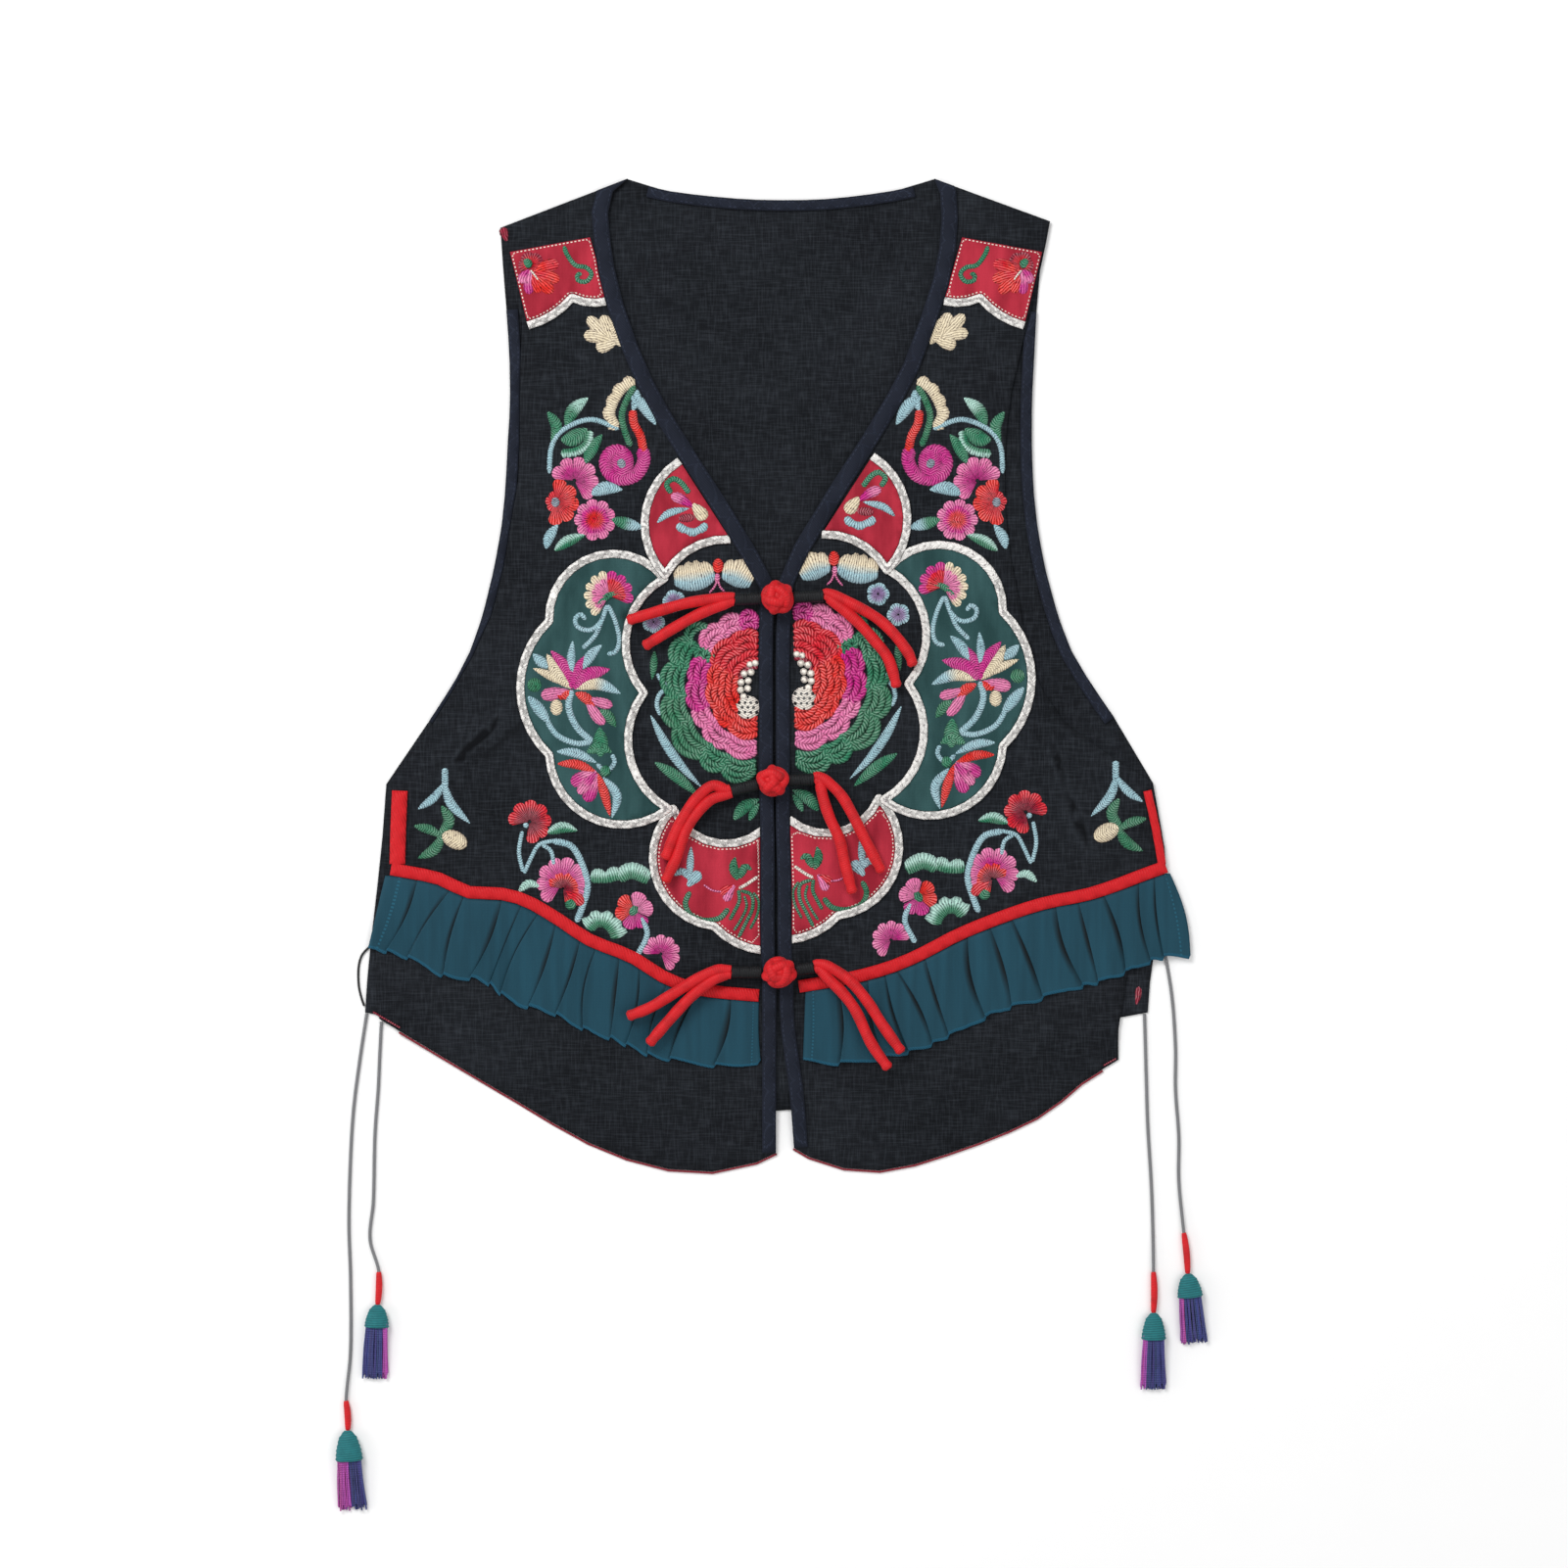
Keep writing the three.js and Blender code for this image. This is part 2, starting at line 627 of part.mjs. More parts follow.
// A cut can leave a crumb beyond a corner, so only the largest piece is kept.
function cutClear(shape, rooms) {
  const pieces = rooms.reduce((left, room) => left.subtract(room), shape).decompose();
  return pieces.reduce((best, piece) => (piece.volume() > best.volume() ? piece : best));
}

// Patches are sewn on in turn, each clear of the ones before it.
function patchesOf(side) {
  const rooms = [keepOut[side]];
  const made = [];
  for (const { name, finish: cloth, rise, corners } of PATCHES) {
    const sides = patchSides(corners, side, rise);
    const room = braid(sides, corners, EDGING + 2 * GAP, 0, CUTTER.height);
    const patch = toSolid(plate(outlineOf(sides), TRIM_LIFT, TRIM));
    const edging = braid(sides, corners, EDGING, TRIM_LIFT, EDGING_WALL);
    made.push([`${name}_edging_${side}`, cutClear(edging, rooms), FINISH.braid]);
    rooms.push(room);
    made.push([`${name}_${side}`, cutClear(patch, rooms), cloth]);
  }
  const flower = plate(outlineOf(patchSides(PEONY, side, PEONY_RISE)), TRIM_LIFT, PEONY_WALL);
  made.push([`peony_${side}`, cutClear(toSolid(flower), rooms), FINISH.peony]);
  return made;
}

// ---------------------------------------------------------------- frogs
const FROG = ["x", "y", "radiusX", "radiusY", "leftX", "leftY", "rightX", "rightY"];
const FROGS = table(FROG, [
  [0, 47, 10.8, 10.8, -26, 46, 28, 48],
  [-3, -65, 10.4, 10.4, -28, -71, 22, -64],
  [1, -182, 11.6, 9.6, -28, -182, 22, -179],
]);
const TAILS_APART = 1.6;                  // each tail's root, off its sleeve's centre line
// The two tails on each side, from the sleeve outward. Those of the lowest frog climb over
// the ruffle's waves.
const TAILS = [
  {
    left: [[[-54, 44], [-79, 37], [-92, 33]], [[-48, 37], [-66, 27], [-82, 17]]],
    right: [[[44, 44], [60, 35], [71, 25], [80, 13], [83, 5]],
      [[47, 34], [60, 20], [68, 9], [73, -8]]],
    climb: 0,
  },
  {
    left: [[[-40, -68], [-49, -75], [-57, -86], [-64, -100], [-69, -113]],
      [[-40, -76], [-48, -83], [-56, -95], [-62, -112], [-69, -127]]],
    right: [[[31, -66], [39, -74], [46, -86], [53, -100], [64, -121]],
      [[28, -76], [32, -88], [38, -101], [41, -115], [46, -134]]],
    climb: 0,
  },
  {
    left: [[[-38, -181], [-49, -186], [-67, -197], [-79, -204], [-92, -209]],
      [[-40, -187], [-53, -197], [-67, -212], [-79, -226]]],
    right: [[[32, -179], [44, -187], [55, -200], [64, -214], [76, -231]],
      [[31, -186], [40, -195], [48, -206], [57, -225], [68, -241]]],
    climb: 2.4,
  },
];

function knotButton(frog) {
  const ball = new THREE.SphereGeometry(1, 14, 8);
  ball.scale(frog.radiusX, frog.radiusY, BUTTON_HALF_HEIGHT);
  return ball.translate(frog.x, frog.y, onFront(frog.x, frog.y) + TRIM + GAP + BUTTON_HALF_HEIGHT);
}

// The sleeve's centre line runs out from the button to where the tails begin.
function frogSleeveLine(frog, side) {
  const button = flat(frog.x, frog.y);
  const end = flat(frog[`${side}X`], frog[`${side}Y`]);
  const out = end.clone().sub(button).normalize();
  return { start: button.clone().addScaledVector(out, frog.radiusX + GAP), end, out };
}

function frogSleeve(frog, side) {
  const { start, end } = frogSleeveLine(frog, side);
  return straightTube([start.x, start.y, FROG_HEIGHT], [end.x, end.y, FROG_HEIGHT], SLEEVE_RADIUS, 12);
}

function frogTails(frog, tails, side) {
  const { end, out } = frogSleeveLine(frog, side);
  const across = side === "left" ? 1 : -1;
  const pair = tails[side].map((points, k) => {
    const apart = flat(out.y, -out.x).multiplyScalar((k ? -1 : 1) * across * TAILS_APART);
    const first = end.clone().addScaledVector(out, 2 * GAP).add(apart);
    const route = [[first.x, first.y], [first.x + 3 * out.x, first.y + 3 * out.y], ...points];
    const climb = (j) => (tails.climb * Math.max(0, j - 1)) / (route.length - 2);
    return tube(route.map(([x, y], j) => [x, y, FROG_HEIGHT + climb(j)]), TAIL_RADIUS, 8, CORD_STEP.tail);
  });
  return joined(pair);
}

// ---------------------------------------------------------------- ties and tassels
// Routes lie on the surface: r is the radius of the cord that rests on it.
const restsAt = (r) => r + 0.05;
const TIES = [
  {
    name: "left_outer",
    route: [[-252, -207.6], [-256, -234], [-260, -265], [-262, -296], [-263, -337], [-262, -369],
      [-262, -415], [-264.6, -445]],
    sleeve: [-263.5, -463], cap: { width: 16.8, length: 18.6 }, strands: 31,
  },
  {
    name: "left_inner",
    route: [[-243, -212.8], [-244, -232], [-245, -254], [-247, -282], [-248, -323], [-250, -346],
      [-244.5, -366]],
    sleeve: [-245.2, -386], cap: { width: 15, length: 14 }, strands: 32,
  },
  {
    name: "right_inner",
    route: [[225, -207.9], [226, -245], [227, -277], [229, -310], [230, -337], [230.4, -366]],
    sleeve: [230.4, -391], cap: { width: 15, length: 16.5 }, strands: 31,
  },
  {
    name: "right_outer",
    route: [[234.7, -153], [238, -173], [242, -199], [244, -229], [244, -254], [246, -283],
      [246, -310], [249, -342]],
    sleeve: [251.4, -367], cap: { width: 15.6, length: 14.5 }, strands: 29,
  },
];

function tieCord({ route }) {
  const points = route.map(([x, y], k) => {
    const atSleeve = k === route.length - 1;
    return [x, y, restsAt(atSleeve ? TIE_SLEEVE_RADIUS : TIE_RADIUS)];
  });
  return tube(points, TIE_RADIUS, 8, CORD_STEP.tie);
}

function tieSleeveEnds({ route, sleeve }) {
  const [cordEnd, capEnd] = [flat(...route.at(-1)), flat(...sleeve)];
  const down = capEnd.clone().sub(cordEnd).normalize();
  return { start: cordEnd.addScaledVector(down, GAP), end: capEnd, down };
}

function tieSleeve(tie) {
  const { start, end } = tieSleeveEnds(tie);
  const height = restsAt(TIE_SLEEVE_RADIUS);
  return straightTube([start.x, start.y, height], [end.x, end.y, height], TIE_SLEEVE_RADIUS, 8);
}

// A flattened bell of wound thread with two layers of strands below it.
const CAP_PROFILE = table(["out", "along"], [
  [0, 0], [0.3, 0], [0.62, 0.22], [0.86, 0.6], [1, 1], [0, 1],
]);
const CAP_FLATNESS = 0.5;
const STRAND = {
  radius: 0.6, across: 9, inCap: 3, gather: 0.82, fan: 1.08, ragged: 0.07, rootLayer: 1.6, tipLayer: 2.2,
};

function tassel(tie) {
  const { end, down } = tieSleeveEnds(tie);
  const { width, length } = tie.cap;
  const radius = width / 2;
  const middle = radius * CAP_FLATNESS + 0.1;
  const profile = CAP_PROFILE.map((row) => flat(row.out * radius, row.along * length));
  const cap = new THREE.LatheGeometry(profile, 12);
  cap.scale(1, 1, CAP_FLATNESS);
  cap.rotateZ(Math.atan2(-down.x, down.y));
  cap.translate(end.x + GAP * down.x, end.y + GAP * down.y, middle);

  const across = flat(-down.y, down.x);
  const strands = [];
  for (const layer of [0, 1]) {
    for (let k = 0; k < STRAND.across; k += 1) {
      const side = (k + 0.5) / STRAND.across - 0.5 + layer * 0.02;
      const spot = (along, spread, height) => {
        const at = end.clone().addScaledVector(down, along);
        at.addScaledVector(across, side * width * spread);
        return [at.x, at.y, height];
      };
      const tip = tie.strands * (1 - STRAND.ragged * ((k * 3 + layer) % 4));
      const root = spot(length - STRAND.inCap, STRAND.gather, middle + (layer - 0.5) * STRAND.rootLayer);
      const free = spot(length + tip, STRAND.fan, restsAt(STRAND.radius) + layer * STRAND.tipLayer);
      strands.push(straightTube(root, free, STRAND.radius, 3));
    }
  }
  return joined([cap, ...strands]);
}

const SIDE_LOOP = [
  [-250.7, -167], [-255, -172], [-257, -179], [-257, -190], [-255.6, -197], [-253.7, -203],
];

// ---------------------------------------------------------------- assembly
const garment = new THREE.Group();
const ties = new THREE.Group();

function place(group, name, shape, material) {
  const geometry = shape.isBufferGeometry ? bareGeometry(shape) : fromSolid(shape);
  geometry.computeVertexNormals();
  const mesh = new THREE.Mesh(geometry, material);
  mesh.name = name;
  group.add(mesh);
}

place(garment, "back_panel", back.wall, FINISH.linen);
place(garment, "back_neck_band", backNeckBand(), FINISH.band);

for (const side of ["left", "right"]) {
  place(garment, `front_${side}`, fronts[side].wall, FINISH.linen);
  place(garment, `front_band_${side}`, frontBand(side), FINISH.band);
  place(garment, `armhole_band_${side}`, armholeBand(side), FINISH.band);
  place(garment, `hem_piping_${side}`, hemPiping(side), FINISH.tape);
  place(garment, `red_tape_${side}`, redTape(side), FINISH.tape);
  place(garment, `ruffle_${side}`, ruffle(side, WAVES[side]), FINISH.chiffon);

  for (const [name, shape, cloth] of patchesOf(side)) place(garment, name, shape, cloth);
}

for (const [k, frog] of FROGS.entries()) {
  place(garment, `knot_button_${k + 1}`, knotButton(frog), FINISH.knot);
  for (const side of ["left", "right"]) {
    place(garment, `frog_${k + 1}_sleeve_${side}`, frogSleeve(frog, side), FINISH.whipping);
    place(garment, `frog_${k + 1}_tails_${side}`, frogTails(frog, TAILS[k], side), FINISH.knot);
  }
}

for (const tie of TIES) {
  place(ties, `tie_cord_${tie.name}`, tieCord(tie), FINISH.tape);
  place(ties, `tie_sleeve_${tie.name}`, tieSleeve(tie), FINISH.tieSleeve);
  place(ties, `tassel_${tie.name}`, tassel(tie), FINISH.tassel);
}
const loopRoute = SIDE_LOOP.map(([x, y]) => [x, y, restsAt(LOOP_RADIUS)]);
place(ties, "side_loop", tube(loopRoute, LOOP_RADIUS, 8, CORD_STEP.loop), FINISH.whipping);

// The origin is under the middle of the garment, without its ties.
const waistcoat = new THREE.Group();
const extent = new THREE.Box3().setFromObject(garment);
const centre = extent.getCenter(new THREE.Vector3());
garment.position.set(-centre.x, -centre.y, 0);
ties.position.copy(garment.position);
waistcoat.add(garment, ties);

export default waistcoat;
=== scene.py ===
"""A sleeveless linen waistcoat laid flat: two fronts on a back, with patchwork flowers,
satin-stitch embroidery, red tapes, pleated frills, knot buttons and tasselled ties."""

import math
from collections import namedtuple

import bmesh
import bpy
import numpy as np
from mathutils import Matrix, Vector, noise
from mathutils.bvhtree import BVHTree


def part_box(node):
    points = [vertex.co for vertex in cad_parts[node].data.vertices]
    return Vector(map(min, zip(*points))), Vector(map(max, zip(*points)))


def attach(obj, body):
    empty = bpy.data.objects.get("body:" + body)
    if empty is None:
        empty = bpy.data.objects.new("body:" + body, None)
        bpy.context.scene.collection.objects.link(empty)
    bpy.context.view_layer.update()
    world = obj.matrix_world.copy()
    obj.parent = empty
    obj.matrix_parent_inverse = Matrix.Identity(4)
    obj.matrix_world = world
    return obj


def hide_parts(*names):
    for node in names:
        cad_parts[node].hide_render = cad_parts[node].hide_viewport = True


bl_info = {
    "name": "Embroidered Waistcoat",
    "version": (1, 0, 0),
    "blender": (4, 5, 0),
    "location": "3D View > Sidebar > Waistcoat",
    "description": "Dresses the frame of a linen waistcoat with cloth, embroidery, knots and ties",
    "category": "Add Mesh",
}

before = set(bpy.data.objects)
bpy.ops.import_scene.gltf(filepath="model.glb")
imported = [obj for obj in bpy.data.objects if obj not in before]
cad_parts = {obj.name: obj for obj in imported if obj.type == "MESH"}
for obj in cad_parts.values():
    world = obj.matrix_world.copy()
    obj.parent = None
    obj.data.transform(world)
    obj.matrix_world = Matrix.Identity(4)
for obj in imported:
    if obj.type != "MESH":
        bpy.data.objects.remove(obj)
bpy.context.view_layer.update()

MM = 0.001
SAME_PLACE = 1e-6  # corners of a mesh this near are one
FACES_UP = 0.35  # a face whose normal rises more than this belongs to a wall's upper side
SIDES = ("left", "right")

# ------------------------------------------------------------------ the pattern sheet
# Places on the cloth are in millimetres on the pattern sheet, whose middle line runs down
# the opening. The first knot button fixes where the sheet lies in the frame.
FIRST_BUTTON = (0.0, 47.0)
MIRROR_LINE = -1.0  # the two fronts' embroidery is mirrored about this x
button_low, button_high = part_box("knot_button_1")
SHIFT = np.array([(button_low.x + button_high.x) / 2, (button_low.y + button_high.y) / 2]) / MM
SHIFT = SHIFT - np.array(FIRST_BUTTON)

VIEW_CENTRE = (3.9, -66.9)  # what the camera looks at
VIEW_WIDTH = 960.6  # how much of the floor it sees
LENS = 100.0
SENSOR = 36.0
GARMENT_MIDDLE = 4.0  # height at which the view width holds
LIGHTS_AIM = (0, -0.05, 0)  # in metres


def in_frame(points):
    """Points of the pattern sheet, with or without heights, in metres in the frame."""
    points = np.atleast_2d(np.asarray(points, float)).copy()
    points[:, :2] += SHIFT
    return points * MM


# ------------------------------------------------------------------ embroidery tables
# A stroke is one stitched shape. Widths are across the shape. Threads are named in the
# thread colours: "green>mint" changes along the shape, "green|mint" from side to side.
# A raised one is stitched over others, by that share of the stitches' height.
Stroke = namedtuple("Stroke", "shape thread width points lobes start sweep raised", defaults=(0, 0, 0, 0))


def leaf(thread, width, *points):
    return Stroke("leaf", thread, width, points)


def petal(thread, width, *points):
    return Stroke("petal", thread, width, points)


def stem(thread, width, *points):
    return Stroke("stem", thread, width, points)


def oval(thread, width, *points):
    return Stroke("oval", thread, width, points)


def scallops(thread, width, lobes, *points):
    """A band whose left edge is lobed."""
    return Stroke("scallops", thread, width, points, lobes)


def wing(thread, width, lobes, *points):
    """A rounded shape whose left edge is lobed."""
    return Stroke("wing", thread, width, points, lobes)


def bloom(thread, radius, petals, start, sweep, centre):
    """Petals round a centre, from the start angle through the sweep, in degrees."""
    return Stroke("bloom", thread, radius, (centre,), petals, start, sweep)


def over(stroke):
    """The same shape, stitched on top of those before it."""
    return stroke._replace(raised=0.7)


SHOULDER = [
    stem("green", 3.0, (-131, 263), (-129, 257.5), (-124, 251), (-117.5, 249.5), (-114, 245.5), (-117, 241),
         (-122, 241.5), (-122.5, 245), (-119.5, 245.5)),
    bloom("crimson>red", 8.0, 4, -70, 300, (-151, 251.5)),
    petal("orange>red", 8.4, (-150.5, 247), (-142.5, 250), (-134, 252)),
    petal("red>orange", 7.8, (-150, 246), (-142, 244.5), (-133.5, 241.5)),
    petal("orange", 7.8, (-150.5, 245), (-144.5, 240), (-137.5, 234)),
    petal("red>orange", 6.6, (-151, 244.5), (-148.5, 239), (-145.5, 234)),
    petal("pink>magenta", 6.6, (-151.5, 247.5), (-152.5, 240), (-152, 233)),
    petal("magenta>pink", 6.6, (-152.5, 248), (-155.5, 244), (-156.5, 239.5)),
    over(stem("white", 1.2, (-151.5, 248), (-149, 245), (-146.5, 241.5))),
    over(oval("green", 5.4, (-154.5, 255), (-151.5, 249))),
]
CREST = [
    petal("beige", 7.8, (-102, 205), (-109.5, 212), (-116.5, 219.5)),
    petal("beige", 8.4, (-101, 204), (-104, 212), (-107.5, 220.5)),
    petal("beige", 8.4, (-101, 204.5), (-111, 207.5), (-119, 208)),
    petal("beige", 8.4, (-99, 204), (-105, 202), (-111.5, 200.5)),
    leaf("beige", 9.0, (-103, 217.5), (-100, 209), (-95.5, 201)),
]
BIRD = [
    leaf("green", 7.2, (-141, 161.5), (-135.5, 152), (-138.5, 140.5)),
    leaf("green>mint", 8.4, (-130, 152.5), (-125, 162.5), (-116, 170)),
    leaf("green", 10.2, (-133, 144), (-125.5, 145), (-116.5, 151)),
    scallops("green>mint", 5.4, 8, (-115, 150), (-117, 141.5), (-123.5, 137), (-133, 135.5)),
    leaf("green", 7.8, (-118, 129.5), (-114, 138.5), (-107.5, 147.5)),
    stem("blue", 3.3, (-140, 123), (-138.5, 140), (-131, 150.5), (-114.5, 156.5), (-97, 150.5)),
    scallops("beige", 7.2, 5, (-98.5, 150), (-103, 159), (-101, 167.5), (-95.5, 176), (-87.5, 181)),
    stem("moss", 4.2, (-87.5, 177.5), (-92.5, 168.5), (-95.5, 159), (-93.5, 149), (-90, 140)),
    leaf("blue", 7.8, (-90.5, 171), (-82, 165), (-74.5, 153)),
    leaf("blue", 6.0, (-86, 175), (-86.5, 168.5), (-89, 161.5)),
    stem("orange", 5.4, (-89, 162.5), (-88, 154), (-84, 146), (-82, 136)),
    oval("magenta", 15.0, (-95.5, 140), (-95.5, 120.5)),
    stem("magenta", 8.4, (-83.5, 140), (-82, 131.5), (-86.5, 123), (-95, 120), (-102.5, 123), (-105.5, 130),
         (-102.5, 136), (-96.5, 137), (-93.5, 132)),
    over(oval("grey", 6.0, (-97, 132.5), (-94.5, 126.5))),
    leaf("blue", 8.4, (-115, 110.5), (-105.5, 114.5), (-95, 113.5)),
    bloom("pink>magenta", 15.0, 6, -62, 236, (-124.5, 119)),
    bloom("red", 7.0, 3, 92, 160, (-135.5, 106)),
    bloom("orange>red", 14.5, 5, -112, 210, (-136, 106)),
    over(oval("grey", 5.4, (-136.5, 109), (-136, 102.5))),
    leaf("green>blue", 7.8, (-102, 95.5), (-92, 92.5), (-82, 90)),
    leaf("green|mint", 7.2, (-137, 76), (-128.5, 82), (-117.5, 86)),
    leaf("blue", 6.6, (-142, 77), (-140, 84.5), (-134.5, 92.5)),
    bloom("pink>magenta", 13.0, 9, 0, 360, (-112, 95)),
    over(bloom("magenta>orange", 8.8, 7, 20, 360, (-112, 95))),
    over(oval("red", 7.0, (-115, 95), (-108.5, 95))),
]
UPPER_PETAL = [
    stem("green", 3.6, (-65, 111), (-68, 116.5), (-64, 120), (-59, 117.5), (-54, 111)),
    petal("magenta>pink", 6.6, (-52, 103), (-59, 107.5), (-65.5, 110)),
    petal("beige", 8.4, (-52, 104.5), (-48, 100), (-44, 95)),
    leaf("blue", 4.8, (-74, 93), (-66.5, 99), (-54, 102)),
    oval("crimson", 5.4, (-61, 95.5), (-50.5, 96.5)),
    scallops("blue", 4.8, 3, (-43, 92.5), (-49, 88), (-55, 88), (-62, 92)),
]
BUTTERFLY = [
    wing("blue|beige", 17.4, 4, (-63.5, 59), (-51, 60), (-39, 63)),
    wing("blue|beige", 16.2, 3, (-34, 63), (-25, 62), (-15.5, 57)),
    over(oval("orange", 6.6, (-36.5, 71.5), (-36.5, 62))),
    oval("pink", 3.6, (-37, 62.5), (-37, 56.5)),
    stem("pink", 1.4, (-37, 57.5), (-39, 53.5), (-42, 50)),
    stem("pink", 1.4, (-36.5, 57.5), (-35, 53.5), (-32, 50.5)),
    bloom("blue>lilac", 7.2, 5, 0, 360, (-63.5, 45)),
    bloom("blue>lilac", 7.2, 5, 30, 360, (-76, 32.5)),
]
LOBE = [
    stem("blue", 3.0, (-104.5, 43), (-108, 33), (-114.5, 27.5), (-122, 29), (-124, 34), (-120.5, 37),
         (-117.5, 33.5)),
    stem("blue", 3.0, (-104, 43), (-99.5, 33), (-97, 22), (-99, 14.5), (-104.5, 12.5)),
    stem("blue", 3.0, (-107, 35.5), (-111.5, 24.5), (-119.5, 16)),
    bloom("beige>pink", 16.0, 6, 97, 142, (-103, 48.5)),
    over(bloom("pink", 11.0, 5, 100, 136, (-103, 48.5))),
    bloom("magenta>red", 15.5, 4, -22, 118, (-103.5, 48.5)),
    over(bloom("red", 11.0, 4, -18, 110, (-103.5, 48.5))),
    over(leaf("green", 4.8, (-111, 41.5), (-104, 48.5), (-96, 50))),
    leaf("blue", 5.4, (-126, -0.5), (-126.5, 10), (-125.5, 21)),
    leaf("blue", 6.6, (-120.5, 3), (-114, 12.5), (-107.5, 18.5)),
    leaf("blue", 6.6, (-140.5, 4), (-146, 9), (-150, 13)),
    leaf("beige", 8.4, (-126, -8.5), (-134.5, 0.5), (-141.5, 13)),
    leaf("beige", 5.4, (-130, -6), (-140.5, 0), (-150, 4)),
    leaf("magenta", 8.4, (-126, -9), (-129.5, 3), (-139, 15)),
    leaf("magenta", 6.6, (-125.5, -8), (-122, 4), (-117.5, 12)),
    leaf("magenta", 9.0, (-125, -9), (-117, -0.5), (-102.5, 3.5)),
    petal("pink", 8.4, (-128, -10), (-137, -11.5), (-145, -13)),
    leaf("orange", 6.0, (-125.5, -10), (-132, -12.5), (-137.5, -10)),
    leaf("beige>blue", 7.8, (-124, -8.5), (-110.5, -5.5), (-96, -11.5)),
    leaf("orange", 6.6, (-124, -11), (-116.5, -15), (-112, -21.5)),
    petal("pink", 6.6, (-116.5, -14.5), (-108.5, -17), (-101, -19)),
    petal("pink", 7.2, (-117, -15.5), (-112, -23.5), (-106, -30.5)),
    oval("moss", 9.0, (-153.5, -5.5), (-144.5, -7)),
    leaf("moss", 6.6, (-109, -21.5), (-104, -25), (-99, -32)),
    stem("blue", 4.2, (-126, -9), (-128, -20), (-123, -32), (-113.5, -41)),
    stem("blue", 3.6, (-141.5, -28), (-135, -37), (-123.5, -42), (-113.5, -41)),
    leaf("blue", 7.2, (-153, -13), (-147, -20), (-139, -30.5)),
    oval("beige", 7.8, (-135.5, -15), (-135.5, -25)),
    leaf("green", 9.6, (-108.5, -50.5), (-108.5, -41.5), (-109, -32)),
    leaf("green", 7.2, (-117, -47.5), (-109, -44.5), (-101.5, -47.5)),
    stem("blue", 3.0, (-101.5, -48.5), (-100, -54), (-105, -59), (-111, -54.5)),
    leaf("blue", 6.0, (-135.5, -47), (-123.5, -48), (-110.5, -54)),
    petal("pink>magenta", 9.0, (-111, -59.5), (-119, -63), (-126.5, -67)),
    petal("pink>magenta", 9.0, (-110.5, -61), (-114, -69.5), (-117, -78)),
    over(petal("magenta>pink", 7.2, (-111.5, -60), (-116.5, -66), (-122, -73))),
    leaf("orange", 6.0, (-135, -54.5), (-122.5, -55), (-110, -60.5)),
    leaf("orange", 6.0, (-110.5, -60), (-106, -73), (-102.5, -87)),
    leaf("blue", 6.0, (-107, -62.5), (-98.5, -74), (-101.5, -88)),
    over(oval("green", 7.2, (-108.5, -57.5), (-102.5, -60.5))),
]
LOWER_PETAL = [
    leaf("blue", 4.8, (-54, -125), (-53.5, -114.5), (-53, -105)),
    leaf("blue", 4.8, (-54, -125.5), (-58, -120.5), (-64, -123)),
    petal("blue", 7.2, (-55, -129.5), (-51.5, -125), (-47, -121)),
    leaf("moss", 6.0, (-24.5, -126), (-27, -118), (-26, -111.5)),
    leaf("moss", 5.4, (-23.5, -125), (-20, -118), (-15.5, -119.5)),
    stem("white", 2.1, (-24, -131), (-18.5, -128), (-12, -123.5)),
    petal("pink", 6.0, (-26.5, -129), (-29.5, -133), (-32, -139)),
    petal("red", 6.0, (-27, -129.5), (-31, -131.5), (-35, -134.5)),
    stem("moss", 3.6, (-53.5, -132.5), (-56.5, -140), (-53, -147.5), (-44.5, -150.5), (-35.5, -149),
         (-30, -143)),
    stem("moss", 2.4, (-24, -131.5), (-23.5, -138.5), (-26.5, -145), (-29.5, -150.5)),
    stem("moss", 2.4, (-23, -132), (-16, -135), (-15.5, -143.5), (-20, -153), (-24, -161)),
    stem("moss", 1.8, (-20.5, -135), (-19, -142), (-22.5, -150), (-27, -157)),
    stem("moss", 1.8, (-15, -133), (-11.5, -139), (-12.5, -147), (-17, -156)),
    stem("pink", 1.2, (-45.5, -128.5), (-40, -132), (-33.5, -133)),
]
SPRAY = [
    stem("blue", 2.7, (-156.5, -95.5), (-158.5, -108.5), (-156, -121)),
    stem("blue", 2.7, (-155.5, -122), (-150.5, -111), (-146, -104), (-137, -101.5)),
    stem("blue", 4.2, (-139, -101.5), (-126.5, -105), (-119.5, -117), (-116.5, -130), (-119.5, -141.5),
         (-123.5, -152)),
    stem("blue", 2.7, (-144.5, -104), (-139, -108), (-137, -117)),
    bloom("red>crimson", 13.5, 7, -100, 290, (-152, -90)),
    over(oval("blue", 3.6, (-155, -90.5), (-153.5, -94))),
    leaf("green|mint", 7.2, (-141.5, -97), (-132, -93.5), (-122.5, -95.5)),
    leaf("mint", 5.4, (-159, -133), (-152.5, -128), (-145, -130)),
    bloom("pink>magenta", 16.2, 8, -52, 290, (-132, -127.5)),
    over(bloom("orange>crimson", 10.2, 6, -80, 250, (-131.5, -131))),
    over(petal("red", 7.2, (-131, -133), (-124, -136), (-119, -141))),
    over(oval("green", 7.2, (-128.5, -137.5), (-125, -143.5))),
    scallops("green>mint", 8.4, 2, (-115, -123.5), (-104.5, -123.5), (-96, -121)),
    scallops("green>mint", 9.6, 1, (-98.5, -124), (-89.5, -120.5), (-78, -124.5)),
]
